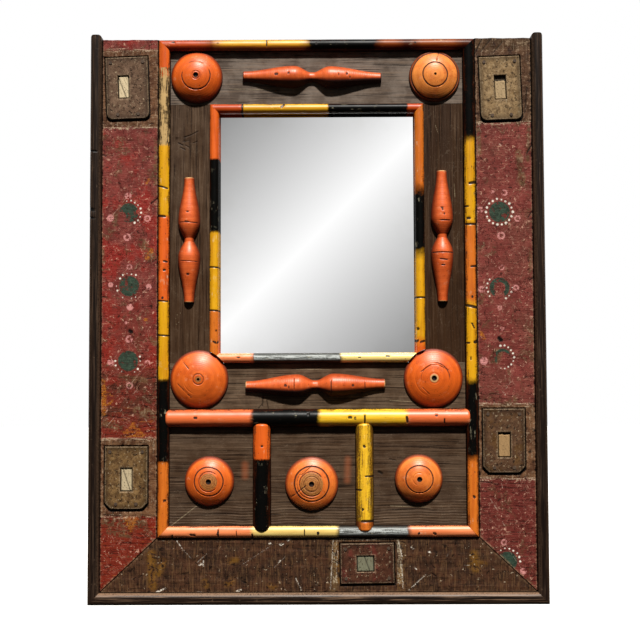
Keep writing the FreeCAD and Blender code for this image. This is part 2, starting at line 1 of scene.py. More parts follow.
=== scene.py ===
"""Dresses the CAD frame of a wall mirror put together from old boards, banded beads, bosses and spindles.

Tables and meshing are in millimetres: x to the viewer's right, height from the bottom edge, and depth from
the wall towards the viewer. Finished meshes and properties are in metres, in the CAD model's own frame.
"""

import math
from functools import cached_property
from types import SimpleNamespace

import bpy
import numpy as np
from mathutils import Matrix, Vector


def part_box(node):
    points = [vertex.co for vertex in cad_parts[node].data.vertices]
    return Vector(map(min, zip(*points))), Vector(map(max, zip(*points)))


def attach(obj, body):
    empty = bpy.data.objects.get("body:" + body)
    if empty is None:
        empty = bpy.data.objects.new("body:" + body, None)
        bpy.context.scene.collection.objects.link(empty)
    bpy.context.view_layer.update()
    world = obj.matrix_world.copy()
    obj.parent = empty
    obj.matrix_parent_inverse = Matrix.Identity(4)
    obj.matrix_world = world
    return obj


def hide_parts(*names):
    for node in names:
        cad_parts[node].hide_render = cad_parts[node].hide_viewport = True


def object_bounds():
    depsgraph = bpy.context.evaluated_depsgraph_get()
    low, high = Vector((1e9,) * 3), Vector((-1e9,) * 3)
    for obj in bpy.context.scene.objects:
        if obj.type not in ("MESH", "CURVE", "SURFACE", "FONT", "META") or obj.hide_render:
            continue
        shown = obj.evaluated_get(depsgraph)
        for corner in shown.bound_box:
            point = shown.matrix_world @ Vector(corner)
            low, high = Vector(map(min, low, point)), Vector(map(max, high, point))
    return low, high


bl_info = {
    "name": "Assemblage wall mirror",
    "version": (1, 0, 0),
    "blender": (4, 5, 0),
    "location": "View3D > Sidebar > Wall mirror",
    "description": "Boards, beads, bosses, spindles and finishes of a wall mirror, laid over its CAD frame",
    "category": "Add Mesh",
}

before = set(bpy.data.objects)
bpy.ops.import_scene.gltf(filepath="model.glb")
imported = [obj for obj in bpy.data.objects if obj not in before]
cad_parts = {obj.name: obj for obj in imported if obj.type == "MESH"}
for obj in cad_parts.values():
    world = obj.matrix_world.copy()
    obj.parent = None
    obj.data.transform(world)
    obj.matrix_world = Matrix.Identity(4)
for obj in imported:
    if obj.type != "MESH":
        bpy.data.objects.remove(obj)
CAD_LOW, CAD_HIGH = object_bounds()
FOOT = CAD_LOW.z
MM = 0.001

# Largest distance that a mark holds
FAR = 12.0

# Bands of paint along each bead and rod: where a band starts, its paint, and how worn it is
BANDS = {
    "edge_bead_top": [
        (-220, "dark_orange", 0.1), (-152, "burnt", 0.2), (-134, "yellow", 0.1), (-16, "black", 0),
        (84, "burnt", 0.1), (112, "brown", 0.1), (136, "burnt", 0.1), (190, "brown", 0.1)],
    "edge_bead_left": [
        (80, "amber", 0.1), (187, "black", 0), (297, "yellow", 0.1), (402, "orange", 0.1),
        (516, "yellow", 0.1), (612, "bare", 1), (704, "orange", 0.8), (718, "orange", 0.25)],
    "edge_bead_right": [
        (80, "amber", 0.1), (191, "black", 0.1), (294, "yellow", 0.1), (398, "amber", 0.2),
        (503, "yellow", 0.1), (618, "black", 0)],
    "edge_bead_bottom": [
        (-220, "pale_orange", 0.25), (-87, "pale_yellow", 0.15), (25, "grey", 0.1),
        (122, "pale_orange", 0.1)],
    "mirror_bead_top": [
        (-150, "dark_orange", 0.1), (-100, "yellow", 0.1), (15, "black", 0), (122, "dark_orange", 0.1)],
    "mirror_bead_left": [
        (310, "amber", 0.2), (389, "yellow", 0.1), (494, "black", 0.1), (593, "orange", 0.1)],
    "mirror_bead_right": [
        (310, "orange", 0.1), (347, "yellow", 0.1), (463, "black", 0.12), (552, "amber", 0.2)],
    "mirror_bead_bottom": [(-150, "pale_orange", 0.2), (-87, "grey", 0.15), (32, "pale_yellow", 0.1)],
    "cross_rod": [
        (-210, "salmon", 0.05), (-88, "black", 0.05), (2, "rod_yellow", 0.05), (118, "salmon", 0.1)],
    "left_post_rod": [(80, "black", 0), (191, "orange", 0.1)],
    "right_post_rod": [(80, "amber", 0.2), (109, "rod_yellow", 0.2)],
}
BAND_BLUR = {"edge_bead_top": 8.0, "edge_bead_right": 5.0, "mirror_bead_right": 8.0, "edge_bead_bottom": 3.0,
             "mirror_bead_bottom": 2.5, "cross_rod": 3.0}
PLAIN_BLUR = 1.2
# How far in from the sides of each bead and rod the darkening reaches: ragged dirt together with painted
# shade where the sides turn away from the light
SIDE_DIRT_AND_SHADE = {"right_post_rod": 2.1, "left_post_rod": 0.9, "edge_bead_right": 1.0, "edge_bead_left": 0.85,
              "edge_bead_bottom": 0.15, "mirror_bead_bottom": 0.2}
PLAIN_SIDE_DIRT_AND_SHADE = 0.45

# Painted shade on the lower side of a level bead or rod: where it starts, where it is darkest, and how
# strong it is
PAINTED_UNDER_SHADE = {"edge_bead_top": (-0.15, 0.45, 0.95), "edge_bead_bottom": (0.6, 1.2, 0.3),
              "mirror_bead_bottom": (0.6, 1.2, 0.5), "cross_rod": (0.3, 0.95, 0.75)}
PLAIN_UNDER_SHADE = (0.2, 0.9, 0.6)
# Lower beads whose dark bands carry a pale streaky stripe along the crown: silvery wear together with a
# painted highlight
HIGHLIGHTED_SILVER_BEADS = ("edge_bead_bottom", "mirror_bead_bottom")

# Which side of a mirror bead faces the glass: 1 for its right or lower side, -1 for the other
GLASS_SIDE = {"mirror_bead_top": 1, "mirror_bead_left": 1, "mirror_bead_right": -1, "mirror_bead_bottom": -1}

# Dark joints, nicks and nail holes: a straight stroke from (x, height) to (x, height), and its half width
NICKS = {
    "edge_bead_top": [(-67, 746, -67, 756, 0.8), (-195, 752, -192, 752, 1.2)],
    "edge_bead_left": [
        (-214, 557, -201, 553, 1.1), (-214, 516, -204, 515, 1.6), (-214, 402, -200, 401, 0.9),
        (-214, 356, -199, 355, 1.1), (-205, 455, -201, 454, 1.2), (-205, 443, -204, 443, 1.6),
        (-204, 137, -202, 137, 1.2)],
    "edge_bead_right": [
        (214, 560, 205, 558, 1.8), (196, 527, 202, 527, 1.2), (202, 511, 204, 511, 1.8),
        (200, 503, 214, 503, 1.4), (214, 447, 206, 446, 1.3), (200, 394, 214, 391, 1.8),
        (206, 370, 209, 364, 1), (214, 347, 210, 345, 2.2), (200, 344, 202, 344, 1.2),
        (206, 141, 207, 140, 1.6), (204, 325, 204, 322, 1)],
    "edge_bead_bottom": [
        (-193, 88, -193, 91, 1.1), (-168, 92, -163, 91, 1.5), (-132, 89, -132, 98, 1),
        (-108, 90, -108, 97, 0.5), (-87, 87, -87, 92, 1.2), (-18, 90, -18, 98, 0.7),
        (153, 93, 155, 92, 1.6)],
    "mirror_bead_top": [(-100, 655, -100, 668, 1.2), (-47, 663, -44, 666, 1.6)],
    "mirror_bead_left": [
        (-145, 447, -131, 446, 1), (-145, 389, -131, 388, 1.1), (-145, 347, -131, 346, 0.9),
        (-135, 362, -135, 361, 1)],
    "mirror_bead_right": [(131, 405, 145, 405, 1.2), (131, 347, 145, 346, 1.3), (134, 364, 135, 363, 1.5)],
    "mirror_bead_bottom": [(-107, 326, -104, 326, 1), (92, 327, 95, 327, 1.2), (55, 325, 57, 325, 0.9)],
    "cross_rod": [
        (-163, 246, -161, 246, 1.6), (-13, 250, -12, 250, 1.2), (42, 246, 44, 246, 1.9),
        (62.5, 231, 62.5, 248, 1.2), (118, 246, 119, 240, 1.6), (157, 248, 158, 248, 1.4),
        (168, 243, 168, 238, 1)],
    "left_post_rod": [(-74, 208, -74, 208, 1.6)],
    "right_post_rod": [
        (61, 208, 62, 207, 1.7), (63, 168, 74, 168, 1), (50, 150, 57, 150, 1), (59, 125, 59, 124, 1.5),
        (58, 109, 76, 109, 1.7)],
    "spindle_top": [
        (-55, 707, -53, 707, 1.8), (-38, 708, -37, 708, 1.2), (41, 707, 41, 707, 1.6),
        (45, 703, 45, 702, 1), (30, 706, 30, 705, 0.8)],
    "spindle_bottom": [
        (-43, 288, -42, 288, 1.8), (-38, 287, -38, 285, 0.9), (47, 288, 47, 288, 1.8),
        (-31, 283, -31, 298, 0.5), (18, 279, 18, 294, 0.7), (63, 284, 63, 292, 0.5)],
    "spindle_left": [
        (-173, 521, -173, 521, 1.4), (-173, 437, -172, 437, 1.6), (-184, 507, -160, 506, 0.5),
        (-176, 508, -171, 507, 0.9), (-182, 455, -160, 454, 0.4)],
    "spindle_right": [
        (167, 525, 168, 522, 1.3), (170, 517, 170, 516, 1), (165, 508, 177, 508, 0.8),
        (155, 465, 181, 465, 0.7), (164, 456, 173, 455, 0.9), (166, 448, 170, 448, 0.8)],
    "boss_top_right": [(165, 737, 162, 724, 0.5)],
    "boss_low_left": [(-184, 327, -171, 311, 0.6), (-186, 291, -168, 273, 0.5)],
    "boss_low_right": [(137, 306, 150, 315, 0.4), (162, 314, 174, 308, 0.4), (139, 285, 148, 276, 0.3)],
    "bay_boss_middle": [(-36, 140, -16, 156, 0.5), (-22, 170, -8, 182, 0.4)],
    "left_moulding": [
        (-305, 604, -296, 603, 1.2), (-305, 526, -300, 524, 2.2), (-305, 514, -300, 513, 1.4)],
    "left_board": [
        (-214, 541, -223, 534, 0.9), (-251, 362, -249, 361, 2.6), (-279, 718, -278, 717, 1.2),
        (-262, 727, -261, 727, 1.2), (-230, 720, -229, 717, 0.8), (-289, 600, -284, 598, 0.8),
        (-215, 458, -221, 455, 0.7), (-288, 408, -281, 407, 0.6), (-216, 300, -228, 298, 0.6),
        (-288, 250, -270, 247, 0.5), (-218, 236, -232, 234, 0.5), (-284, 118, -262, 116, 0.5)],
    "right_board": [
        (243, 350, 245, 348, 3), (214, 735, 224, 756, 0.7), (222, 738, 236, 756, 0.6),
        (240, 738, 252, 752, 0.5), (284, 690, 281, 655, 0.7), (289, 610, 283, 600, 0.8),
        (288, 520, 283, 512, 0.7), (290, 432, 284, 428, 0.8), (214, 270, 226, 268, 0.5),
        (288, 300, 276, 298, 0.5), (216, 160, 232, 158, 0.5), (262, 128, 276, 126, 0.4)],
    "left_stile": [
        (-190, 623, -181, 622, 0.7), (-179, 624, -170, 627, 0.6), (-170, 627, -161, 632, 0.5),
        (-187, 616, -181, 613, 0.6), (-181, 618, -173, 619, 0.4), (-184, 610, -178, 607, 0.5),
        (-177, 613, -173, 610, 0.5), (-172, 621, -167, 620, 0.4), (-167, 616, -162, 618, 0.4)],
    "middle_rail": [(-74, 261, -73, 273, 0.6), (-79, 258, -72, 266, 0.4), (-66, 257, -68, 268, 0.4)],
    "lower_panel": [(81, 173, 85, 171, 1.6), (95, 190, 104, 188, 0.4)],
    "bottom_board": [(-100, 30, -95, 28, 0.8), (150, 40, 156, 36, 0.8), (-180, 40, -172, 41, 0.6)],
}

# Painted rosettes on the outer boards: x, height, radius, radius of the worn middle, share of the white dots
# that is left, the dots' radius, and the arcs they stand on, in degrees to the left from three o'clock
ROSETTES = [
    (-253, 521, 13, 0, 1, 1.3, [(-75, 112)]),
    (-252, 422, 13.5, 0, 0.9, 1.2, [(55, 215), (230, 310)]),
    (-253, 322, 13.5, 0, 0.9, 1.2, [(-75, 35), (155, 255)]), (245, 520, 14, 0, 1, 1.6, [(0, 360)]),
    (244, 418, 13.5, 7.5, 0.9, 1.2, [(-65, 15), (135, 235)]),
    (247, 325, 11.5, 7.5, 0.95, 1.3, [(-110, 100)]), (250, 55, 13, 0, 1, 1.2, [(-15, 125)]),
]
GREEN_GONE = [(-263, 516, 6.5, 0), (-240, 522, 3.5, 0), (244, 408, 6.5, 0), (250, 320, 10.5, 0)]
DOTS_ROUND = 18
DOTS_BEYOND = 3.5
FLOWER_REACH = 36
SCORED_HALF = 0.35

# Pink flowers between the rosettes: x, height, radius and radius of the open middle
FLOWERS = [
    (-254, 544, 4.6, 0), (-228, 513, 4.8, 2.2), (-278, 514, 5, 0), (-255, 488, 5.2, 2.4),
    (-252, 448, 4, 2), (-226, 421, 4, 0), (-277, 424, 3.6, 0), (-251, 394, 4.6, 0),
    (-252, 351, 5, 2.2), (-276, 320, 4.8, 0), (-227, 319, 4, 1.6), (-251, 289, 4.6, 2.6),
    (-256, 373, 2, 0), (219, 523, 4.4, 1.8), (252, 546, 4.4, 2), (247, 488, 5.4, 2.6),
    (269, 511, 4.6, 2.2), (220, 416, 4.6, 1.6), (247, 445, 3.8, 1.6), (266, 418, 4, 1.8),
    (244, 391, 3.4, 1.4), (222, 320, 5.4, 0), (247, 363, 3, 1.2), (246, 80, 4.2, 2.2),
    (271, 42, 4.4, 0), (236, 547, 2.6, 0),
]

# Patches on the boards, as strokes: pale scuffs, yellow ochre left from older paint, bare brown wood, and
# soft smears of lacquer
SCUFFS = {
    "left_board": [
        (-281, 235, -268, 250, 0.4), (-264, 253, -250, 272, 0.4), (-248, 275, -241, 284, 0.4),
        (-231, 246, -222, 232, 0.5), (-276, 95, -270, 82, 0.5), (-236, 582, -233, 581, 0.9),
        (-226, 530, -221, 526, 0.8), (-243, 282, -228, 271, 0.4), (-282, 220, -240, 217, 0.4),
        (-250, 60, -238, 73, 0.4)],
    "right_board": [
        (258, 592, 276, 604, 0.4), (250, 275, 247, 279, 1), (250, 282, 262, 298, 0.4),
        (246, 612, 248, 610, 1), (238, 122, 228, 138, 0.5), (244, 108, 247, 102, 0.6),
        (245, 151, 243, 160, 0.5), (218, 640, 222, 628, 0.6), (230, 618, 238, 612, 0.5)],
    "bottom_board": [
        (-187, 83, -181, 74, 0.8), (-181, 74, -168, 60, 0.4), (-157, 52, -155, 53, 1.8),
        (-152, 50, -152, 57, 0.8), (-160, 55, -148, 66, 0.4), (-214, 16, -202, 21, 1.2),
        (-108, 17, -102, 19, 1.3), (-50, 78, -47, 79, 1.8), (-40, 84, -36, 86, 1.8),
        (-65, 79, -63, 80, 1.2), (-52, 55, -50, 57, 1.2), (-58, 48, -44, 62, 0.4),
        (-100, 52, -60, 78, 0.35), (-30, 34, -22, 18, 0.7), (120, 18, 142, 38, 0.8),
        (106, 82, 111, 62, 0.9), (110, 60, 112, 20, 0.7), (107, 40, 108, 24, 0.5), (146, 68, 149, 67, 1.2),
        (123, 74, 126, 72, 0.9), (16, 20, 20, 84, 0.7), (23, 30, 26, 70, 0.4), (128, 47, 130, 45, 0.8),
        (-160, 16, -154, 16, 0.6), (194, 50, 200, 50, 0.7), (30, 86, 60, 84, 0.5), (64, 84, 100, 86, 0.5),
        (170, 62, 176, 70, 0.4)],
    "left_stile": [
        (-188, 384, -188, 384, 0.8), (-185, 380, -185, 380, 0.7), (-190, 379, -190, 379, 0.7),
        (-186, 374, -186, 374, 0.8), (-189, 371, -189, 371, 0.6), (-184, 386, -184, 386, 0.5)],
    "right_stile": [(160, 640, 164, 628, 0.3), (185, 560, 186, 540, 0.3)],
    "top_rail": [(40, 740, 96, 738, 0.3), (-120, 690, -60, 688, 0.3)],
    "middle_rail": [(96, 268, 128, 266, 0.3), (-30, 310, 20, 309, 0.3)],
    "lower_panel": [(-195, 103, -160, 130, 0.45), (96, 128, 150, 126, 0.3)],
}
OCHRE = {
    "left_board": [
        (-287, 293, -286, 253, 4.5), (-283, 262, -274, 268, 1.5), (-282, 280, -275, 276, 1.5),
        (-259, 222, -231, 222, 1.6), (-257, 226, -234, 226, 1.6), (-254, 230, -238, 230, 1.6),
        (-250, 234, -241, 234, 1.6), (-247, 238, -245, 238, 1.6), (-257, 113, -240, 113, 1.6),
        (-255, 109, -242, 109, 1.6), (-253, 105, -244, 105, 1.6), (-251, 101, -246, 101, 1.6),
        (-249, 97, -248, 97, 1.6), (-231, 377, -229, 377, 1.8), (-222, 470, -228, 460, 3),
        (-230, 560, -226, 566, 1.5)],
    "right_board": [(262, 180, 256, 182, 3), (222, 350, 218, 358, 2.5)],
    "bottom_board": [
        (-221, 66, -219, 24, 6), (-212, 40, -206, 55, 5), (-150, 30, -148, 24, 3.5),
        (206, 64, 208, 46, 6), (212, 55, 221, 52, 2.5), (108, 45, 109, 24, 3),
        (-116, 56, -108, 58, 4), (-120, 26, -114, 30, 4), (24, 78, 26, 30, 3),
        (-64, 24, -58, 22, 3), (200, 50, 205, 48, 3)],
}
BARE = {
    "left_board": [
        (-235, 480, -222, 462, 6), (-228, 466, -224, 458, 4), (-270, 520, -272, 505, 3),
        (-288, 470, -287, 455, 3), (-222, 352, -217, 345, 3.5), (-216, 620, -218, 560, 3),
        (-262, 300, -230, 296, 4), (-240, 256, -220, 250, 6), (-280, 212, -230, 213, 5),
        (-282, 108, -232, 106, 6), (-276, 96, -252, 92, 5), (-284, 238, -262, 232, 4)],
    "right_board": [
        (272, 600, 276, 560, 5), (215, 470, 222, 476, 4), (220, 408, 218, 398, 3.5),
        (240, 330, 236, 322, 7), (262, 268, 250, 262, 4), (220, 748, 284, 750, 9),
        (217, 640, 219, 600, 3.5), (286, 640, 284, 590, 3), (286, 470, 285, 440, 2.5)],
    "bottom_board": [(110, 80, 110, 20, 6), (20, 80, 20, 20, 6), (30, 85, 100, 86, 2.5)],
}

SMEARS = {"lower_panel": [(-97, 168, -97, 183, 4), (39, 162, 40, 190, 3.5)]}
PATCHES = {"scuff": SCUFFS, "ochre": OCHRE, "bare": BARE, "smear": SMEARS}

# Heights between which an outer board is scraped brown round its plates
BROWN_ZONES = {"left_board": [(637, 743), (115, 218)], "right_board": [(641, 790), (164, 262)]}

# Slotted plates: turn to the left in degrees, lower corners, slot as (across, up, width, height), its board,
# tones of the ground, light, pits and patches, and how pale and how tan the tenon is and where it breaks off
PLATES = {
    "plate_top_left": dict(
        turn=2, corner="round", slot=(-5, 1.5, 15, 31), board="left_board",
        tones=("503a2b", "7a604c", "1a110b", "644c3a"), tenon=(1, 0, 40)),
    "plate_top_right": dict(
        turn=2, corner="round", slot=(0, 1, 16, 33), board="right_board",
        tones=("614a30", "a68a64", "1e140b", "8a6e4a"), tenon=(0.8, 0.55, 9)),
    "plate_low_left": dict(
        turn=0, corner="cut", slot=(0.5, -2.5, 16, 31), board="left_board",
        tones=("4a331e", "846640", "140d06", "664c2c"), tenon=(0.75, 0.1, 40)),
    "plate_low_right": dict(
        turn=0, corner="cut", slot=(0.5, -5.5, 17, 33), board="right_board",
        tones=("462f20", "664a34", "160d07", "60421c"), tenon=(0.8, 0.85, 13.5)),
    "plate_bottom": dict(
        turn=0.8, corner="square", slot=(-2.5, -0.5, 23, 21), board="bottom_board",
        tones=("3c2116", "5a3828", "140a05", "6e2c26"), tenon=(0.15, 0, 40)),
}
MITRE_SLOPE = 72.0 / 76.5
PLATE_CORNER = 8.0
PLATE_GAP = 1.2
PLATE_FOOT_GAP = 3.2
TENON_SINK = 1.5
TENON_CHAMFER = 2.2
TENON_BEHIND = 6.0

# Dark boards round the mirror: whether upright, how grey, and the grey's tint
INNER_BOARDS = {
    "top_rail": (False, 0.85, "82756a"), "middle_rail": (False, 0.55, "7c6854"),
    "lower_panel": (False, 0.3, "7c6855"), "left_stile": (True, 0.28, "7c6652"),
    "right_stile": (True, 0.05, "7c6652"),
}

# Edge of the glass, run of a board's mitres, and ends of the rods
GLASS_ARRIS = 0.6
CLOUD_REACH = 60.0
BOARD_RUN = 220.0
POST_SHORT = 4.0
ROD_END = 3.2

# Bosses: turned rings as (radius, share of the depth, start, stop) with angles in degrees to the left from
# three o'clock, radius of the bare middle, and how golden the lacquer is
BOSSES = {
    "boss_top_left": dict(
        rings=((19, 0.8, 150, 400), (19.4, 0.5, 40, 150), (5.2, 0.5, 0, 360)), bare=0, gold=0),
    "boss_top_right": dict(rings=((16.5, 1, 0, 360), (31.5, 1, 0, 360)), bare=0, gold=0.85, hole=1.4),
    "boss_low_left": dict(rings=((7, 0.6, 0, 360), (20, 0.3, 190, 260)), bare=4.4, gold=0.1, hole=1.7),
    "boss_low_right": dict(
        rings=((20.5, 0.6, -20, 100), (17.5, 0.5, 60, 200), (24.5, 0.25, 150, 260), (6.8, 0.3, 0, 360)),
        bare=6.2, gold=0, wood=1),
    "bay_boss_left": dict(rings=((19, 1, 0, 360), (13, 0.6, 30, 330)), bare=12.5, gold=0.1),
    "bay_boss_middle": dict(
        rings=((10, 0.5, 0, 360), (16, 0.7, 20, 330), (23, 1.3, 0, 360), (19.5, 0.5, 100, 300)),
        bare=17, gold=0.35),
    "bay_boss_right": dict(rings=((18, 0.9, 0, 360), (8.5, 0.4, 60, 250)), bare=0, gold=0.5),
}
BOSS_RIM = 2.5
BOSS_HOLE = 3.2
BOSS_HOLE_DEPTH = 3.4
BOSS_TURNS = 144
BOSS_CLEAR = 0.5
BEAD_FULLER = 2.0

# Spindles: tilt of the level ones, and the sizes of their turning
SPINDLES = {"spindle_top": -0.9, "spindle_bottom": 0.9, "spindle_left": 0.0, "spindle_right": 0.0}
SPINDLE_WAIST = 6.8
SPINDLE_END = 7.0
SPINDLE_NECK = 2.5
SPINDLE_BULGE_AT = 24.0
SPINDLE_FULLER = 2.0

# Camera as fitted to the outline's corners in the photograph, and the direction that its mirror shows
CAMERA_PLACE = (0.012, -1.6, -0.411)
CAMERA_YAW, CAMERA_PITCH, CAMERA_ROLL = -0.31, 2.99, -0.21
CAMERA_LENS = 65.8
SENSOR = 36.0
MIRROR_FACES = (0.0, -0.9926, 0.1219)

# Sun: strength, width in degrees, colour, angle off the mirror's normal, and how far it is to the right
SUN_STRENGTH = 5.7
SUN_WIDTH = 3.5
SUN_COLOUR = (1.0, 0.97, 0.92)
SUN_HIGH = math.radians(55)
SUN_ASIDE = 0.07
FLOOR_REACH = 6.0


def linear(code):
    """Linear RGBA of a colour written as six hexadecimal sRGB digits."""
    srgb = np.array([int(code[i:i + 2], 16) for i in (0, 2, 4)]) / 255
    rgb = np.where(srgb <= 0.04045, srgb / 12.92, ((srgb + 0.055) / 1.055) ** 2.4)
    return (*rgb.tolist(), 1.0)


def paint(name, description, code):
    """Colour property with a default from its hexadecimal digits."""
    return bpy.props.FloatVectorProperty(name=name, description=description, subtype="COLOR", size=4,
                                         min=0.0, max=1.0, default=linear(code))


def length(name, description, millimetres):
    """Length property with a default in millimetres."""
    return bpy.props.FloatProperty(name=name, description=description, unit="LENGTH", min=0.0, precision=5,
                                   default=millimetres * MM)


class MirrorPaints(bpy.types.PropertyGroup):
    """Colours of the paints, lacquers and woods."""

    orange: paint("Orange", "Lacquer of beads, rods, bosses and spindles", "e8661c")
    dark_orange: paint("Dark orange", "Older orange of the upper beads", "c04a10")
    # Paler copy of the orange, painted lighter for the strong light that the lower beads catch
    pale_orange: paint("Pale orange", "Faded orange of the lower beads", "f88f58")
    gold: paint("Golden orange", "Lacquer of the lighter bosses", "ff9f4a")
    yellow: paint("Yellow", "Yellow bands", "e6a80c")
    # Paler copy of the yellow, painted lighter for the strong light that the lower beads catch
    pale_yellow: paint("Pale yellow", "Faded yellow of the bead under the mirror", "fce086")
    salmon: paint("Salmon", "Orange ends of the cross rod", "e6703a")
    amber: paint("Amber", "Browner orange of the upright beads", "da7420")
    burnt: paint("Burnt orange", "Orange of the top bead, gone brown", "92480f")
    rod_yellow: paint("Rod yellow", "Brighter yellow of the thick rods", "fac62a")
    black: paint("Black", "Black bands", "070706")
    # Grey in place of black on the lower beads: worn, and painted lighter for the strong light that they
    # catch
    grey: paint("Grey", "Black of the lower beads, gone grey", "3a3b38")
    brown: paint("Band brown", "Worn brown bands", "52240e")
    bare: paint("Bare bead", "Wood that shows where a bead has lost its paint", "c8a670")
    red: paint("Board red", "Paint of the outer boards", "823d36")
    dark_red: paint("Dark board red", "Older red under the paint of the outer boards", "682d27")
    board_brown: paint("Board brown", "Brown round the plates on the outer boards", "745439")
    green: paint("Rosette green", "Discs of the rosettes", "2c4a3c")
    white: paint("Dot white", "Dots and scuffs", "efe6d6")
    pink: paint("Flower pink", "Flowers between the rosettes", "dc9691")
    ochre: paint("Ochre", "Patches of older yellow paint", "b97a26")
    foot_brown: paint("Bottom board brown", "Paint of the bottom board", "4a2f20")
    spindle: paint("Spindle orange", "Lacquer of the spindles", "e2602c")
    panel: paint("Panel brown", "Dark boards round the mirror", "36210f")
    moulding: paint("Moulding brown", "Outer mouldings", "140b07")
    moulding_worn: paint("Worn moulding", "Worn grain and arrises of the mouldings", "826650")
    raw_wood: paint("Raw wood", "Battens and dowels behind", "9a7b55")
    ply: paint("Backing ply", "Board behind the glass", "b08c5e")
    zinc: paint("Zinc", "Hangers, buttons and screws", "a9adb0")
    iron: paint("Iron", "Pins, nails and screws from the front", "2b2624")
    rust: paint("Rust", "Nails in the plates", "4f3d2e")
    silver: paint("Silvering", "Mirror glass", "f3f3f3")


class MirrorShapes(bpy.types.PropertyGroup):
    """Sizes of the wear and the turning."""

    board_arris: length("Board arris", "Radius of the worn edges of the boards", 1.4)
    moulding_round: length("Moulding round", "Radius of the mouldings' front corners", 6.0)
    moulding_tip: length("Moulding tip", "Radius of the mouldings' top corners", 4.0)
    nick_depth: length("Nick depth", "Depth of joints and nicks", 0.7)
    ring_depth: length("Ring depth", "Depth of the rings turned in the bosses", 0.9)
    ring_width: length("Ring width", "Half width of the rings turned in the bosses", 1.0)
    unevenness: length("Unevenness", "How far worn edges wander from straight", 0.5)
    grain_depth: length("Grain depth", "Relief of the boards' grain", 0.25)
    grain_bump: length("Grain bump", "Height of the fine grain in the finishes", 0.3)


def shapes_mm():
    """The shape properties in millimetres."""
    shapes = bpy.context.scene.mirror_shapes
    return SimpleNamespace(**{name: getattr(shapes, name) / MM for name in MirrorShapes.__annotations__})


def node_box(node):
    """Edges of a CAD node in millimetres."""
    low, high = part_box(node)
    return SimpleNamespace(x0=low.x / MM, x1=high.x / MM, back=-high.y / MM, front=-low.y / MM,
                           foot=(low.z - FOOT) / MM, top=(high.z - FOOT) / MM)


def ends_of(box, upright):
    """Where an upright or level piece starts and stops along its length."""
    return (box.foot, box.top) if upright else (box.x0, box.x1)


def edges_of(box, upright):
    """Where an upright or level piece starts and stops across its width."""
    return ends_of(box, not upright)


def middle_of(box):
    """x and height of a box's middle."""
    return (box.x0 + box.x1) / 2, (box.foot + box.top) / 2


def edge_gap(x, height, box, upright):
    """Distance to the nearer of a piece's two long edges."""
    low, high = edges_of(box, upright)
    wide = x if upright else height
    return np.minimum(wide - low, high - wide)


def to_frame(x, depth, height):
    """Points in the frame's metres from x, depth and height in millimetres."""
    x, depth, height = np.broadcast_arrays(x, depth, height)
    return np.stack([x * MM, -depth * MM, height * MM + FOOT], -1)


def stations(low, high, step, fine=(), reach=2.4, fine_step=0.45):
    """Places from low to high about step apart, and fine_step apart within reach of each fine place."""
    even = np.linspace(low, high, max(3, round((high - low) / step) + 1))
    close = [np.arange(place - reach, place + reach, fine_step) for place in fine]
    inner = np.unique(np.concatenate([even, *close]).round(2))
    inner = inner[(inner > low + fine_step / 2) & (inner < high - fine_step / 2)]
    inner = inner[np.append(True, np.diff(inner) > fine_step / 3)]
    return np.concatenate([[low], inner, [high]])


def wander(places, seed, wave):
    """Wavering line between about -1 and 1: four sines of shortening waves, with phases from a seed."""
    turns = np.random.default_rng(seed).uniform(0, 2 * np.pi, 4)
    waves = wave / np.array([1.0, 1.9, 3.7, 7.1])
    sines = np.sin(2 * np.pi * np.asarray(places)[..., None] / waves + turns)
    return sines @ np.array([0.45, 0.3, 0.16, 0.09])


def eased(distance, radius):
    """Drop of a rounded edge: a quarter circle of that radius, none beyond it."""
    inside = np.clip(radius - distance, 0, radius)
    return radius - np.sqrt(np.maximum(radius ** 2 - inside ** 2, 0))


def rise(value, low, high):
    """Smooth step from 0 at low to 1 at high."""
    share = np.clip((value - low) / (high - low), 0, 1)
    return share * share * (3 - 2 * share)


def fall(value, low, high):
    """Smooth step from 1 at low to 0 at high."""
    return 1 - rise(value, low, high)


def stroke_distance(x, height, strokes):
    """Distance from each point to the nearest stroke's rim, below zero inside it. A stroke is a straight
    line with round ends, so a point's distance is to its foot on the line, less the half width."""
    if not strokes:
        return np.full(np.shape(x), FAR)
    x0, h0, x1, h1, half = np.array(strokes, float).T
    run_x, run_h = x1 - x0, h1 - h0
    off_x, off_h = x[..., None] - x0, height[..., None] - h0
    share = np.clip((off_x * run_x + off_h * run_h) / (run_x ** 2 + run_h ** 2 + 1e-9), 0, 1)
    gap = np.hypot(off_x - share * run_x, off_h - share * run_h) - half
    return np.minimum(gap.min(-1), FAR)


def patches_of(name, x, height):
    """Distance to each kind of patch that a board has."""
    return {kind: stroke_distance(x, height, rows[name]) for kind, rows in PATCHES.items() if name in rows}


def disc_distance(x, height, discs):
    """Distance from each point to the nearest disc's rim, below zero inside it. A hollow makes it a ring."""
    mid_x, mid_h, radius, hollow = np.array(discs, float).T
    gap = np.hypot(x[..., None] - mid_x, height[..., None] - mid_h)
    return np.minimum(np.maximum(gap - radius, hollow - gap).min(-1), FAR)


def white_dots():
    """Discs of the dots round the rosettes: evenly spaced on a circle, some missing, sizes varied."""
    rng = np.random.default_rng(11)
    angles = np.arange(DOTS_ROUND) * 2 * np.pi / DOTS_ROUND
    rows = []
    for x, height, radius, _, share, dot, arcs in ROSETTES:
        past = [np.mod(np.degrees(angles) - start, 360) <= stop - start for start, stop in arcs]
        kept = angles[np.any(past, 0) & (rng.random(DOTS_ROUND) < share)]
        out = radius + DOTS_BEYOND + rng.normal(0, 0.5, len(kept))
        size = dot * rng.uniform(0.75, 1.3, len(kept))
        places = [x + out * np.cos(kept), height + out * np.sin(kept), size, np.zeros(len(kept))]
        rows.append(np.stack(places, -1))
    return np.concatenate(rows)


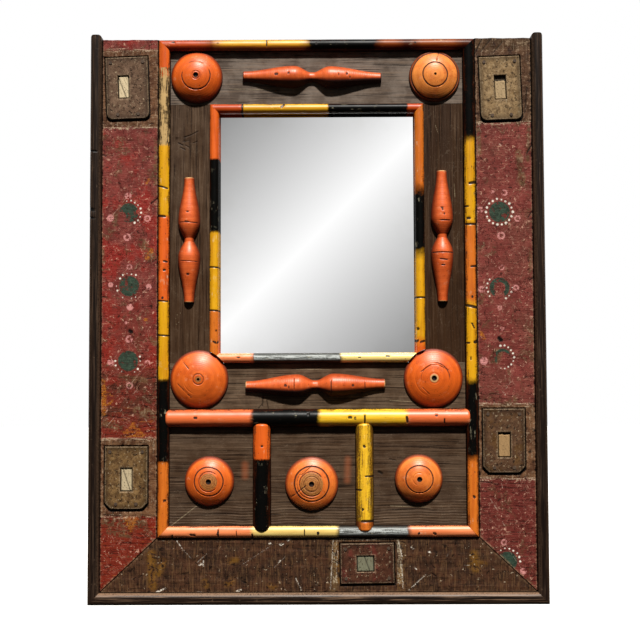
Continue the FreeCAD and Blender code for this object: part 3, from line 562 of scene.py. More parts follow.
def rhombs():
    """Scored lines between the flowers round each rosette: strokes from each flower within reach of a
    rosette to the next one round it."""
    flowers = np.array(FLOWERS)[:, :2]
    strokes = []
    for x, height, *_ in ROSETTES:
        off = flowers - (x, height)
        near = off[np.hypot(*off.T) < FLOWER_REACH]
        near = near[np.argsort(np.arctan2(near[:, 1], near[:, 0]))] + (x, height)
        strokes.append(np.column_stack([near, np.roll(near, -1, 0), np.full(len(near), SCORED_HALF)]))
    return [tuple(stroke) for stroke in np.concatenate(strokes).tolist()]


def plate_place(name):
    """Middle and size of a plate, worked out from the box of the turned CAD plate."""
    box, plate = node_box(name), PLATES[name]
    turn = math.radians(plate["turn"])
    wide, tall = box.x1 - box.x0, box.top - box.foot
    cos, sin = math.cos(turn), math.sin(turn)
    width = (wide * cos - tall * sin) / math.cos(2 * turn)
    height = (tall * cos - wide * sin) / math.cos(2 * turn)
    mid_x, mid_height = middle_of(box)
    return SimpleNamespace(x=mid_x, height=mid_height, width=width, tall=height, turn=turn, front=box.front,
                           back=box.back, corner=plate["corner"], slot=plate["slot"])


def turned_to(x, height, turn):
    """Points turned to the left about the origin."""
    cos, sin = math.cos(turn), math.sin(turn)
    return x * cos - height * sin, x * sin + height * cos


def recess_distance(x, height, plate):
    """Distance to the outline of a plate's recess, below zero inside: the larger of how far a point is
    beyond the sides, with the lower corners cut at 45 degrees or rounded off."""
    across, up = turned_to(x - plate.x, height - plate.height, -plate.turn)
    beyond_x = np.abs(across) - plate.width / 2 - PLATE_GAP
    beyond_h = np.abs(up) - plate.tall / 2 - np.where(up > 0, PLATE_GAP, PLATE_FOOT_GAP)
    gap = np.maximum(beyond_x, beyond_h)
    if plate.corner == "cut":
        corner = (beyond_x + beyond_h + PLATE_CORNER) / math.sqrt(2)
        gap = np.where(up < 0, np.maximum(gap, corner), gap)
    if plate.corner == "round":
        out = np.hypot(np.maximum(beyond_x + PLATE_CORNER, 0), np.maximum(beyond_h + PLATE_CORNER, 0))
        inside = (beyond_x > -PLATE_CORNER) & (beyond_h > -PLATE_CORNER) & (up < 0)
        gap = np.where(inside, np.maximum(gap, out - PLATE_CORNER), gap)
    return gap


def grid_quads(rows, columns, round_rows=False, round_columns=False):
    """Quads of a grid of vertices, row after row, closed on itself where asked."""
    index = np.arange(rows * columns).reshape(rows, columns)
    low = index if round_rows else index[:-1]
    high = np.roll(index, -1, 0) if round_rows else index[1:]
    if round_columns:
        corners = [low, np.roll(low, -1, 1), np.roll(high, -1, 1), high]
    else:
        corners = [low[:, :-1], low[:, 1:], high[:, 1:], high[:, :-1]]
    return np.stack(corners, -1).reshape(-1, 4)


def raised(x, height, front, back):
    """Closed piece whose front is a grid of points at depth front. Straight walls run from the grid's rim
    to a flat back, which is strips from side to side."""
    rows, columns = x.shape
    count = rows * columns
    index = np.arange(count).reshape(rows, columns)
    rim = np.concatenate([index[0, :-1], index[:-1, -1], index[-1, :0:-1], index[:0:-1, 0]])
    behind = count + np.arange(len(rim))
    points = np.concatenate([to_frame(x, front, height).reshape(-1, 3),
                             to_frame(x, back, height).reshape(-1, 3)[rim]])
    walls = np.stack([rim, behind, np.roll(behind, -1), np.roll(rim, -1)], -1)
    back_of = np.zeros((rows, columns), int)
    back_of.flat[rim] = behind
    left, right = back_of[1:-1, 0], back_of[1:-1, -1]
    strips = np.stack([left[:-1], left[1:], right[1:], right[:-1]], -1)
    ends = [back_of[0].tolist() + [right[0], left[0]], back_of[-1, ::-1].tolist() + [left[-1], right[-1]]]
    return points, [*np.concatenate([grid_quads(rows, columns), walls, strips]).tolist(), *ends]


def turned(mid_x, mid_height, radii, angles, front, back):
    """Closed round piece: front is the depth at each (radius, angle), with a single point in the middle,
    a straight rim and a flat round back."""
    x = mid_x + radii[1:, None] * np.cos(angles)
    height = mid_height + radii[1:, None] * np.sin(angles)
    rings, turns = x.shape
    tip = to_frame(mid_x, front[0].mean(), mid_height)[None]
    body = to_frame(x, front[1:], height).reshape(-1, 3)
    foot = to_frame(x[-1], back, height[-1])
    quads = grid_quads(rings + 1, turns, round_columns=True) + 1
    fan = np.stack([np.zeros(turns, int), np.roll(np.arange(turns), -1) + 1, np.arange(turns) + 1], -1)
    disc = [(1 + rings * turns + np.arange(turns)).tolist()]
    return np.concatenate([tip, body, foot]), [*quads.tolist(), *fan.tolist(), *disc]


def outward(points, faces):
    """Faces turned so that they look outwards: a closed piece then has a positive volume, summed over the
    triangles that fan out from each face's first corner."""
    volume = 0.0
    for size in {len(face) for face in faces}:
        corners = points[np.array([face for face in faces if len(face) == size])]
        first = corners[:, :1]
        cross = np.cross(corners[:, 1:-1] - first, corners[:, 2:] - first)
        volume += (cross * (first - points.mean(0))).sum()
    return faces if volume > 0 else [face[::-1] for face in faces]


def add_object(name, data):
    """Object at the origin, in the scene."""
    made = bpy.data.objects.new(name, data)
    bpy.context.scene.collection.objects.link(made)
    return made


def new_piece(name, solid, finish, node, marks, crease=40):
    """Closed piece in place of a CAD node. A mark holds a number for each vertex, or one for all."""
    points, faces = solid
    mesh = bpy.data.meshes.new(name)
    mesh.from_pydata(points.tolist(), [], outward(points, faces))
    mesh.polygons.foreach_set("use_smooth", np.ones(len(mesh.polygons), bool))
    mesh.set_sharp_from_angle(angle=math.radians(crease))
    for key, values in marks.items():
        layer = mesh.attributes.new(key, "FLOAT", "POINT")
        layer.data.foreach_set("value", np.broadcast_to(np.float32(values), len(points)))
    mesh.materials.append(finish)
    piece = add_object(name, mesh)
    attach(piece, "frame")
    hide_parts(node)


def flat_places(solid):
    """x and height in millimetres of a solid's vertices."""
    points = solid[0]
    return points[:, 0] / MM, (points[:, 2] - FOOT) / MM


def nicked(name, x, height, blur=0.7):
    """1 in a piece's nicks and joints, fading to 0 within the blur."""
    return fall(stroke_distance(x, height, NICKS.get(name, [])), -blur, blur)


def soil_of(solid, name, blur=0.6):
    """Darkness of nicks and joints at a solid's vertices."""
    return nicked(name, *flat_places(solid), blur)


def nick_places(name, upright):
    """Where along a piece its nicks start and stop."""
    strokes = np.array(NICKS.get(name, [(0, 0, 0, 0, 0)]), float)
    return strokes[:, [1, 3]] if upright else strokes[:, [0, 2]]


def bar(name, box, upright, profile, across, along, begin=None, end=None, run=60.0, blur=0.7):
    """Straight piece along its longer side. across are its places from edge to edge, along those from end to
    end, and profile gives the front's depth there. begin and end give where each line along the bar starts
    and stops, for mitres and coped ends, and the lines take up the difference within the run."""
    low, high = ends_of(box, upright)
    along = along[:, None]
    begin = np.full_like(across, low) if begin is None else begin(across)
    end = np.full_like(across, high) if end is None else end(across)
    start_share = np.clip(1 - (along - low) / run, 0, 1)
    stop_share = np.clip(1 - (high - along) / run, 0, 1)
    lines = along + (begin - low) * start_share - (high - end) * stop_share
    wide = np.broadcast_to(across, lines.shape)
    x, height = (wide, lines) if upright else (lines, wide)
    depth = profile(wide, lines) - shapes_mm().nick_depth * nicked(name, x, height, blur)
    return raised(x, height, depth, box.back)


def nicked_bar(name, box, upright, profile, across, step, begin=None, end=None):
    """Bar whose places along it are closer together at its nicks."""
    along = stations(*ends_of(box, upright), step, np.unique(nick_places(name, upright).round()))
    return bar(name, box, upright, profile, across, along, begin, end)


class Socket:
    """Output of a node that takes part in Python arithmetic: each operator adds one Math node."""

    def __init__(self, finish, output):
        self.finish = finish
        self.output = output

    def math(self, operation, *values):
        return self.finish.node("ShaderNodeMath", {"operation": operation}, dict(enumerate(values)))

    def __add__(self, other):
        return self.math("ADD", self, other)

    def __sub__(self, other):
        return self.math("SUBTRACT", self, other)

    def __rsub__(self, other):
        return self.math("SUBTRACT", other, self)

    def __mul__(self, other):
        return self.math("MULTIPLY", self, other)

    def __truediv__(self, other):
        return self.math("DIVIDE", self, other)

    def __rtruediv__(self, other):
        return self.math("DIVIDE", other, self)

    __radd__ = __add__
    __rmul__ = __mul__

    def most(self, other):
        return self.math("MAXIMUM", self, other)

    def wave(self):
        return self.math("SINE", self)

    def size(self):
        return self.math("ABSOLUTE", self)

    def step(self, low, high):
        """Smooth step from 0 at low to 1 at high, or the other way round."""
        return self.finish.node("ShaderNodeMapRange", {"interpolation_type": "SMOOTHSTEP"},
                                {"Value": self, "From Min": low, "From Max": high})

    def cracks(self, width):
        """Thin lines where a noise passes its middle value."""
        return (self - 0.5).size().step(width, 0.0)


class Finish:
    """Nodes of one material or of the world, built from Python expressions."""

    def __init__(self, owner):
        owner.use_nodes = True
        self.owner = owner
        self.tree = owner.node_tree
        self.colour = None
        self.tree.nodes.clear()

    def node(self, kind, settings=None, inputs=None, output=0):
        """New node of a type: its settings first, then the values or links of its sockets."""
        made = self.tree.nodes.new(kind)
        for name, value in (settings or {}).items():
            if name == "stops":
                self.fill_ramp(made.color_ramp, value)
            else:
                setattr(made, name, value)
        for key, value in (inputs or {}).items():
            if isinstance(value, Socket):
                self.tree.links.new(value.output, made.inputs[key])
            else:
                made.inputs[key].default_value = value
        return Socket(self, made.outputs[output]) if made.outputs else None

    @staticmethod
    def fill_ramp(ramp, stops):
        """Stops of a ramp as (position, colour); the two it starts with are used first."""
        for i, (position, colour) in enumerate(stops):
            element = ramp.elements[i] if i < 2 else ramp.elements.new(position)
            element.position = position
            element.color = colour

    @cached_property
    def place(self):
        """Object coordinates in millimetres, with height counted from the bottom edge."""
        coordinates = self.node("ShaderNodeTexCoord", output="Object")
        return self.node("ShaderNodeVectorMath", {"operation": "MULTIPLY_ADD"},
                         {0: coordinates, 1: (1 / MM,) * 3, 2: (0.0, 0.0, -FOOT / MM)})

    def axis(self, vector, letter):
        return self.node("ShaderNodeSeparateXYZ", None, {0: vector}, letter)

    def noise(self, scale, detail=4.0, roughness=0.55, warp=0.0):
        """Noise over the place. The scale is one number, or three where it differs along x, y and z."""
        vector = self.place
        if not isinstance(scale, float):
            vector = self.node("ShaderNodeVectorMath", {"operation": "MULTIPLY"}, {0: vector, 1: scale})
            scale = 1.0
        return self.node("ShaderNodeTexNoise", None, {"Vector": vector, "Scale": scale, "Detail": detail,
                                                      "Roughness": roughness, "Distortion": warp})

    def streaks(self, letter, fine, stretch, look=(6.0, 0.65, 0.3)):
        """Streaks of grain along one axis: noise pulled out along it."""
        return self.noise([fine * (stretch if axis == letter else 1.0) for axis in "XYZ"], *look)

    def grain(self, letter, fine, stretch):
        """Streaks of grain along one axis, and a broader figure of the same kind."""
        broad = fine * 0.22
        return self.streaks(letter, fine, stretch), self.streaks(letter, broad, stretch, (3.0, 0.5, 0.6))

    def rays(self, *kinds):
        """Whether the ray that is followed is of each of these kinds."""
        return [self.node("ShaderNodeLightPath", output=kind) for kind in kinds]

    def mix(self, share, first, second, blend="MIX"):
        """Colour between two others, which may be given as hexadecimal digits."""
        first, second = (linear(tone) if isinstance(tone, str) else tone for tone in (first, second))
        return self.node("ShaderNodeMix", {"data_type": "RGBA", "blend_type": blend},
                         {0: share, 6: first, 7: second}, 2)

    def lay(self, share, colour, blend="MIX"):
        """Lay a colour over those that are there, by a share."""
        self.colour = self.mix(share, self.colour, colour, blend)

    def mark(self, name):
        """Number that each vertex holds."""
        return self.node("ShaderNodeAttribute", {"attribute_name": name}, None, "Fac")

    def painted(self, name, ragged, soft):
        """Share of a painted mark: its distance attribute made ragged, and cut off at its rim."""
        return (self.mark(name) + ragged).step(soft, -soft)

    def shade(self, roughness, relief=None, depth=1.0, specular=0.5, others=None):
        """Principled surface of the colours laid so far, as the material's output. Relief is a bump as high
        as the grain's times the depth."""
        inputs = {"Base Color": self.colour, "Roughness": roughness, "Specular IOR Level": specular}
        inputs.update(others or {})
        if relief is not None:
            high = bpy.context.scene.mirror_shapes.grain_bump * depth
            inputs["Normal"] = self.node("ShaderNodeBump", None,
                                         {"Height": relief, "Distance": high, "Strength": 1.0})
        surface = self.node("ShaderNodeBsdfPrincipled", None, inputs)
        self.node("ShaderNodeOutputMaterial", None, {"Surface": surface})
        return self.owner


def new_finish(name):
    """Empty material to build a finish in, and the paints."""
    return Finish(bpy.data.materials.new(name)), bpy.context.scene.mirror_paints


def moulding_finish(name, letter, worn):
    """Dark stained wood, worn paler along the grain and on the arrises."""
    f, paints = new_finish(name)
    streaks, figure = f.grain(letter, 0.7, 0.02)
    fine = f.noise(0.6, 5.0, 0.7)
    f.colour = f.mix(figure.step(0.35, 0.7), paints.moulding, "21140c")
    f.lay(streaks.step(0.5, 0.72) * worn, paints.moulding_worn)
    f.lay(streaks.step(0.45, 0.33) * 0.85, "0e0906")
    scuffs = f.noise(0.12, 6.0, 0.72).step(0.63, 0.7)
    f.lay(scuffs * 0.45, "77604c")
    f.lay(f.mark("edge") * (fine + figure * 0.4).step(0.5, 0.8) * worn, paints.moulding_worn)
    f.lay(f.mark("soil") * 0.9, "060403")
    return f.shade(streaks * 0.3 + 0.26, streaks * 0.6 + scuffs * -0.2 + fine * 0.2, specular=0.25)


def bare_back(f, streaks, mottle):
    """Lay old bare wood on the back of a painted board."""
    wood = f.mix(mottle.step(0.35, 0.65), "5f4831", "7a6044")
    wood = f.mix(streaks.step(0.52, 0.7) * 0.6, wood, "3c2c1d")
    f.lay(f.mark("behind").step(0.8, 0.98), wood)


def outer_board_finish(name):
    """Old red paint over dark wood with rosettes, flowers, scuffs and scraped brown bands at the plates."""
    f, paints = new_finish(name + "_paint")
    height = f.axis(f.place, "Z")
    streaks = f.streaks("Z", 0.45, 0.05)
    blotch = f.noise(0.02, 4.0, 0.6)
    mottle = f.noise(0.07, 5.0, 0.62, 0.4)
    flecks = f.noise(0.19, 5.0, 0.62, 0.6)
    fine = f.noise(0.5, 5.0, 0.7)
    across = f.noise((0.05, 0.3, 0.55), 5.0, 0.62, 0.5)
    ragged = (fine - 0.5) * 1.6 + (flecks - 0.5) * 4.0
    f.colour = f.mix(mottle.step(0.35, 0.65), paints.dark_red, paints.red)
    if name == "right_board":
        f.lay(blotch.step(0.44, 0.62) * 0.28, "6a4436")
        f.lay(height.step(300.0, 150.0) * 0.55, "5c231c")
    else:
        f.lay(blotch.step(0.52, 0.62) * 0.6, "96221a")
        f.lay(blotch.step(0.46, 0.38) * 0.35, "6a3a34")
        f.lay(height.step(470.0, 150.0) * 0.72, "74210b")
        scraped = (height + (flecks - 0.5) * 60.0).step(318.0, 292.0) * height.step(232.0, 252.0)
        f.lay(scraped * mottle.step(0.4, 0.56) * 0.7, "42281a")
    low_down = height.step(340.0, 240.0)
    f.lay(streaks.step(0.57, 0.72) * 0.35, "47201a")
    olive = f.noise(0.035, 6.0, 0.66, 1.0).step(0.54, 0.64) * flecks.step(0.4, 0.56)
    f.lay(olive * 0.7, "54402a")
    f.lay((across - low_down * 0.08).step(0.37, 0.31) * 0.7, "220c07")
    if name == "left_board":
        f.lay(low_down * across.step(0.6, 0.66) * blotch.step(0.4, 0.56) * 0.7, "9c5a22")
    long_scratches = f.noise((0.035, 0.3, 0.7), 4.0, 0.6, 0.8)
    f.lay(long_scratches.step(0.63, 0.68) * mottle.step(0.45, 0.58) * 0.75, "b8826a")
    f.lay(flecks.step(0.4, 0.32) * 0.85, "28170e")
    f.lay(flecks.step(0.6, 0.66) * fine.step(0.42, 0.54) * 0.8, "cda088")
    f.lay(f.noise(0.05, 5.0, 0.58, 1.2).cracks(0.008) * flecks.step(0.42, 0.52) * 0.6, "bd927c")
    dark_crackle = f.noise(0.03, 5.0, 0.6, 1.0).cracks(0.007) * flecks.step(0.56, 0.46)
    f.lay(dark_crackle * 0.7, "1f0b07")
    brown = f.mix(mottle.step(0.35, 0.65), "4a301e", paints.board_brown)
    if name == "right_board":
        brown = f.mix(height.step(600.0, 640.0) * 0.55, brown, "332a1c")
    brown = f.mix(flecks.step(0.55, 0.64) * 0.7, brown, "8d765e")
    brown = f.mix(flecks.step(0.44, 0.36) * 0.8, brown, "23170e")
    uprights = f.noise((0.5, 0.3, 0.04), 5.0, 0.62, 0.4)
    brown = f.mix(uprights.step(0.58, 0.66) * fine.step(0.4, 0.56) * 0.7, brown, "b29c80")
    wavy = height + (flecks - 0.5) * 12.0 + (fine - 0.5) * 4.0
    zone, rim = 0.0, 0.0
    for low, high in BROWN_ZONES[name]:
        zone = wavy.step(low - 1.5, low + 1.5) * wavy.step(high + 1.5, high - 1.5) + zone
        rim = (wavy - low).size().step(3.0, 0.8).most((wavy - high).size().step(3.0, 0.8)).most(rim)
    f.lay(zone * 0.9, brown)
    f.lay(f.painted("bare", ragged * 2.2, 2.0) * flecks.step(0.4, 0.5) * 0.85, brown)
    old = f.mix(fine.step(0.45, 0.62), "9a4c16", paints.ochre)
    f.lay(f.painted("ochre", ragged * 1.2, 1.4) * (across * 0.6 + fine * 0.4).step(0.44, 0.52) * 0.9, old)
    green = f.mix(flecks.step(0.35, 0.65), "1c352b", paints.green)
    faded = (mottle * 0.6 + flecks * 0.6).step(0.5, 0.58)
    f.lay(f.painted("green", ragged * 0.7, 0.7) * faded * 0.92, green)
    f.lay(f.painted("flower", ragged * 1.1, 0.6) * flecks.step(0.4, 0.52) * 0.8, paints.pink)
    f.lay(f.painted("dots", ragged * 0.25, 0.4) * flecks.step(0.32, 0.42), paints.white)
    f.lay(f.painted("rhomb", ragged * 0.15, 0.4) * flecks.step(0.43, 0.53) * 0.7, "c09a8a")
    f.lay(f.painted("scuff", ragged * 0.4, 0.5) * flecks.step(0.46, 0.54) * 0.8, "c9ac9a")
    f.lay(rim * (across * 0.7 + fine * 0.5).step(0.58, 0.68) * 0.8, "c0aa8e")
    f.lay(f.mark("edge") * (flecks + fine * 0.3).step(0.58, 0.7) * 0.8, "957459")
    # Painted shade: near black in the gaps along the board's long edges and round the plate recesses
    painted_seam_shade = f.mark("seam") + (fine - 0.5) * 1.5 + (flecks - 0.5) * 3.0
    f.lay(painted_seam_shade.step(2.1, 0.7), "0c0604")
    f.lay(f.mark("soil"), "0c0604")
    bare_back(f, streaks, mottle)
    relief = streaks * 0.2 + across * 0.5 + flecks * 0.6 + fine * 0.2 - dark_crackle * 0.4
    return f.shade(fine * 0.25 + 0.42, relief, depth=4.0, specular=0.1)


def bottom_board_finish(name):
    """Dark brown paint with splashes of white, ochre left from older paint and pale strokes."""
    f, paints = new_finish(name + "_paint")
    streaks = f.streaks("X", 0.5, 0.07)
    upright = f.noise((0.75, 0.3, 0.05), 4.0, 0.65, 0.3)
    mottle = f.noise(0.07, 5.0, 0.62, 0.4)
    flecks = f.noise(0.2, 5.0, 0.62, 0.6)
    fine = f.noise(0.5, 5.0, 0.7)
    ragged = (fine - 0.5) * 1.6 + (flecks - 0.5) * 4.0
    f.colour = f.mix(mottle.step(0.36, 0.64), "35241a", paints.foot_brown)
    f.lay(upright.step(0.52, 0.62) * 0.7, "664a30")
    f.lay(upright.step(0.46, 0.38) * 0.5, "22150d")
    f.lay(streaks.step(0.57, 0.68) * 0.4, "57301e")
    f.lay(streaks.step(0.42, 0.34) * 0.7, "140b06")
    f.lay(flecks.step(0.58, 0.68) * 0.5, "624a35")
    f.lay(flecks.step(0.43, 0.35) * 0.85, "120905")
    f.lay(f.painted("bare", ragged * 2.4, 2.6) * flecks.step(0.42, 0.54) * 0.6, "6b5234")
    f.lay(f.painted("ochre", ragged * 2.6, 3.5) * flecks.step(0.4, 0.56) * 0.65, "7e561a")
    splashes = f.painted("scuff", ragged * 0.9, 0.6) * (flecks * 0.5 + fine * 0.5).step(0.47, 0.53)
    f.lay(splashes * 0.9, paints.white)
    f.lay(f.noise(0.17, 4.0, 0.65).step(0.66, 0.7) * 0.75, "b7a68c")
    plate_foot = node_box("plate_bottom").foot
    beside = (f.mark("plate") - 6.0).size().step(4.5, 1.5) * upright.step(0.46, 0.56)
    beside = beside * f.axis(f.place, "Z").step(plate_foot - 1.0, plate_foot + 3.0)
    f.lay(beside * fine.step(0.44, 0.56) * 0.85, "b8aa90")
    f.lay(f.mark("edge") * flecks.step(0.46, 0.58) * 0.7, "755c44")
    # Painted shade: near black in the gaps along the board's edges and round the plate recess
    f.lay((f.mark("seam") + (fine - 0.5) * 1.5).step(1.7, 0.6), "080402")
    f.lay(f.mark("soil"), "080402")
    bare_back(f, streaks, mottle)
    relief = streaks * 0.4 + upright * 0.3 + flecks * 0.5 + fine * 0.2
    return f.shade(fine * 0.3 + 0.32, relief, depth=2.6, specular=0.14)


def panel_finish(name, letter, grey, tint):
    """Dark weathered board: worn grain over brown stain, with darker lines between the grain."""
    f, paints = new_finish(name + "_wood")
    streaks, figure = f.grain(letter, 0.6, 0.025)
    fine = f.noise(0.7, 5.0, 0.72)
    mottle = f.noise(0.03, 5.0, 0.62)
    ragged = (fine - 0.5) * 2.0
    f.colour = f.mix(figure.step(0.3, 0.7), "2c1a0e", paints.panel)
    f.lay((mottle.step(0.36, 0.66) * 0.6 + 0.4) * grey, tint)
    f.lay(streaks.step(0.52, 0.68) * (0.2 + grey * 0.35), "8a725c")
    f.lay(streaks.step(0.47, 0.36) * 0.85, "140b06")
    f.lay(fine.step(0.6, 0.7) * 0.35, "8d7b66")
    if letter == "Z":
        f.lay(f.axis(f.place, "Z").step(560.0, 380.0) * 0.35, "3a2412")
    f.lay(f.noise(0.03, 5.0, 0.6, 1.2).cracks(0.004) * mottle.step(0.45, 0.55) * 0.25, "9b8a74")
    if name in SMEARS:
        f.lay((f.mark("smear") + ragged).step(4.0, -4.0) * 0.35, "b0603a")
    f.lay(f.painted("scuff", ragged * 0.3, 0.45) * fine.step(0.36, 0.5) * 0.6, "cdbc98")
    f.lay(f.mark("soil") * 0.85, "0a0603")
    f.lay(f.mark("edge") * fine.step(0.4, 0.6) * 0.35, "7a6753")
    return f.shade(streaks * 0.2 + 0.44, streaks * 0.7 + fine * 0.2, depth=1.8, specular=0.1)


def banded_finish(name, letter, low, high, foot):
    """Lacquer in bands along one axis. Each band's colour and wear are stops of one ramp, whose place is
    made ragged by noise. Dirt and painted shade darken the sides, painted shade darkens the lower side of a
    level piece and the foot, the lower beads get a painted highlight on silvery wear along the crown, and
    nicks and chips show what lies under the lacquer."""
    f, paints = new_finish(name + "_lacquer")
    along = f.axis(f.place, letter)
    fine = f.noise(0.6, 6.0, 0.7)
    mottle = f.noise(0.08, 4.0, 0.6)
    streaks, figure = f.grain(letter, 0.8, 0.05)
    blur = BAND_BLUR.get(name, PLAIN_BLUR)
    bands = [(max(start, low), (*getattr(paints, key)[:3], worn)) for start, key, worn in BANDS[name]]
    stops = [bands[0]]
    for (_, before), (start, after) in zip(bands, bands[1:]):
        stops += [(start - blur, before), (start + blur, after)]
    stops = [((place_mm - low) / (high - low), colour) for place_mm, colour in stops]
    shares = (along + (fine - 0.5) * 5.0 + (mottle - 0.5) * blur * 2.5 - low) / (high - low)
    ramp = f.node("ShaderNodeValToRGB", {"stops": stops}, {0: shares})
    wear = Socket(f, ramp.output.node.outputs["Alpha"])
    f.colour = f.mix(figure.step(0.42, 0.66) * 0.55, ramp, (0.66, 0.5, 0.36, 1.0), "MULTIPLY")
    f.lay(streaks.step(0.54, 0.7) * 0.5, (0.5, 0.34, 0.24, 1.0), "MULTIPLY")
    f.lay(mottle.step(0.58, 0.7) * streaks.step(0.48, 0.4) * 0.35, (1.0, 0.9, 0.6, 1.0), "SCREEN")
    across = f.mark("across")
    flank = across.size()
    light = f.node("ShaderNodeRGBToBW", None, {0: ramp})
    if letter == "X":
        # Painted shade darkens the lower side of a level bead or rod, which turns away from the light above
        start, stop, share = PAINTED_UNDER_SHADE.get(name, PLAIN_UNDER_SHADE)
        under = (across + (streaks - 0.5) * 0.5).step(start, stop) * share
        f.lay(under, (0.3, 0.12, 0.07, 1.0), "MULTIPLY")
    if name in HIGHLIGHTED_SILVER_BEADS:
        # Pale streaky stripe along the crown of the dark bands: silvery wear together with a painted
        # highlight
        silver_wear_and_highlight = (across + 0.1).size().step(0.75, 0.1) * (streaks * 0.7 + fine * 0.3).step(0.42, 0.56)
        f.lay(light.step(0.12, 0.02) * silver_wear_and_highlight * 0.9, "d8dedb")
    sides = SIDE_DIRT_AND_SHADE.get(name, PLAIN_SIDE_DIRT_AND_SHADE)
    ragged = (streaks - 0.5) * 1.8 + (fine - 0.5) * 1.2 + (mottle - 0.5) * 0.6
    # The sides darken with ragged dirt together with painted shade where they turn away from the light
    dirt = (flank + ragged).step(1.0 - sides * 0.42, 1.04 - sides * 0.1)
    # Painted shade: a dark line along the foot of each bead and rod where it meets the board; beside the
    # glass only the deepest part of the wall gets it
    outline = (f.mark("side") + (fine - 0.5) * 0.3).step(foot + 0.05, foot + 0.25)
    if name in GLASS_SIDE:
        outer = (across * GLASS_SIDE[name]).step(0.8, 0.5)
        dirt = dirt * outer
        outline = outline * outer.most(f.mark("side").step(0.85, 0.95))
    f.lay(dirt * 0.9, "3a1607")
    f.lay(outline * 0.92, "120804")
    chipping = streaks * 0.55 + fine * 0.45 + wear * 0.3
    chips = chipping.step(0.68, 0.72)
    pale = (streaks - flank * 0.22 + (mottle - 0.5) * 0.7).step(0.34, 0.46)
    f.lay(chips * 0.92, f.mix(pale, "1a0e06", paints.bare))
    f.lay(f.noise(0.5, 3.0, 0.6).step(0.66, 0.71) * 0.75, "3a160a")
    dark = (f.mark("soil") + (fine - 0.5) * 0.8).step(0.3, 0.6)
    f.lay(dark * 0.95, "150904")
    walls = f.mark("side").step(foot + 0.2, foot + 0.35)
    roughness = (chips * 0.3 + dark * 0.3 + outline * 0.3 + fine * 0.16 + 0.24).most(walls * 0.95)
    coat = (light.step(0.03, 0.32) * 0.8 + 0.1) * (1.0 - chips.most(outline).most(walls))
    relief = streaks * 0.4 + chips * -0.6 + fine * 0.25
    return f.shade(roughness, relief, depth=0.6, specular=0.06,
                   others={"Coat Weight": coat, "Coat Roughness": 0.42})


def turned_finish(name, paint_name):
    """Orange lacquer of turned pieces: fine tool rings round the middle, dark grooves, and a bare middle."""
    f, paints = new_finish(name)
    out = f.mark("out")
    fine = f.noise(0.5, 6.0, 0.7)
    blotch = f.noise(0.05, 5.0, 0.65)
    rings = (out * 2.6 + fine * 4.0).wave() * 0.5 + 0.5
    broad = (out * 0.75 + blotch * 7.0).wave() * 0.5 + 0.5
    f.colour = f.mix(f.mark("gold"), getattr(paints, paint_name), paints.gold)
    f.lay(blotch.step(0.44, 0.66) * 0.5, paints.dark_orange)
    f.lay(broad * 0.18, "8f2c08")
    f.lay(fine.step(0.58, 0.72) * 0.28, "9a330c")
    f.lay(rings * 0.1, "7a2406")
    f.lay(f.noise(0.11, 5.0, 0.7).step(0.56, 0.7) * 0.4, "f4a67c")
    bare = (f.mark("bare") + (fine - 0.5) * 0.9 + (blotch - 0.5) * 0.8).step(0.42, 0.6)
    wood = f.mix(rings * 0.5 + fine.step(0.4, 0.6) * 0.5, "5a2f10", "b8813e")
    wood = f.mix(f.mark("wood") * 0.8, wood, "d9b076")
    f.lay(bare * 0.85, wood)
    f.lay(f.noise(0.36, 3.0, 0.6).step(0.66, 0.71) * 0.75, "3f1306")
    f.lay(f.noise(0.07, 5.0, 0.6, 1.0).cracks(0.006) * blotch.step(0.45, 0.6) * 0.5, "5a1a08")
    # Painted shade: the flanks of the spindles, level ones mostly on their lower side, and the rims of the
    # bosses are darkened, darkest at the edge
    flank = f.mark("flank") + (fine - 0.5) * 0.25
    f.lay(flank.step(0.3, 0.92) * 0.8, "7c260b")
    shadowed = flank.step(0.8, 1.1)
    f.lay(shadowed * 0.9, "1e0803")
    dark = (f.mark("soil") + (fine - 0.5) * 0.9).step(0.3, 0.7)
    f.lay(dark * 0.9, "2a0b05")
    relief = rings * 0.25 + fine * 0.35 - dark * 0.3
    roughness = fine * 0.25 + dark * 0.3 + bare * 0.2 + shadowed * 0.4 + 0.28
    return f.shade(roughness, relief, depth=0.45, specular=0.42)


def plate_finish(name, base, light, dark, patch):
    """Worn plate: rough mottled surface, paler arrises, dark pits, and patches of older paint."""
    f, _ = new_finish(name + "_surface")
    fine = f.noise(0.6, 7.0, 0.76)
    mottle = f.noise(0.13, 6.0, 0.7, 0.4)
    streaks = f.streaks("Z", 0.7, 0.18)
    f.colour = f.mix(mottle.step(0.35, 0.66), base, light)
    f.lay(f.noise(0.05, 3.0).step(0.5, 0.64) * 0.5, patch)
    f.lay(fine.step(0.56, 0.68) * 0.55, light)
    f.lay(fine.step(0.44, 0.32) * 0.85, dark)
    f.lay(streaks.step(0.57, 0.72) * 0.35, dark)
    f.lay(f.noise(0.28, 5.0, 0.7).step(0.59, 0.65) * 0.7, "b5a283")
    pits = f.noise(0.24, 5.0, 0.7).step(0.42, 0.36)
    f.lay(pits * 0.8, dark)
    f.lay((f.mark("rim") + (mottle - 0.5) * 0.9).step(0.72, 1.0) * 0.5, dark)
    f.lay(f.mark("edge") * (fine + mottle * 0.3).step(0.56, 0.72) * 0.5, "a08a6e")
    # Painted shade: the walls down into the recess and the slot are near black
    f.lay(f.mark("soil") * 0.95, "0d0805")
    relief = fine * 0.4 + mottle * 0.6 + streaks * 0.2 - pits * 0.4
    return f.shade(fine * 0.3 + 0.4, relief, depth=2.6, specular=0.12)


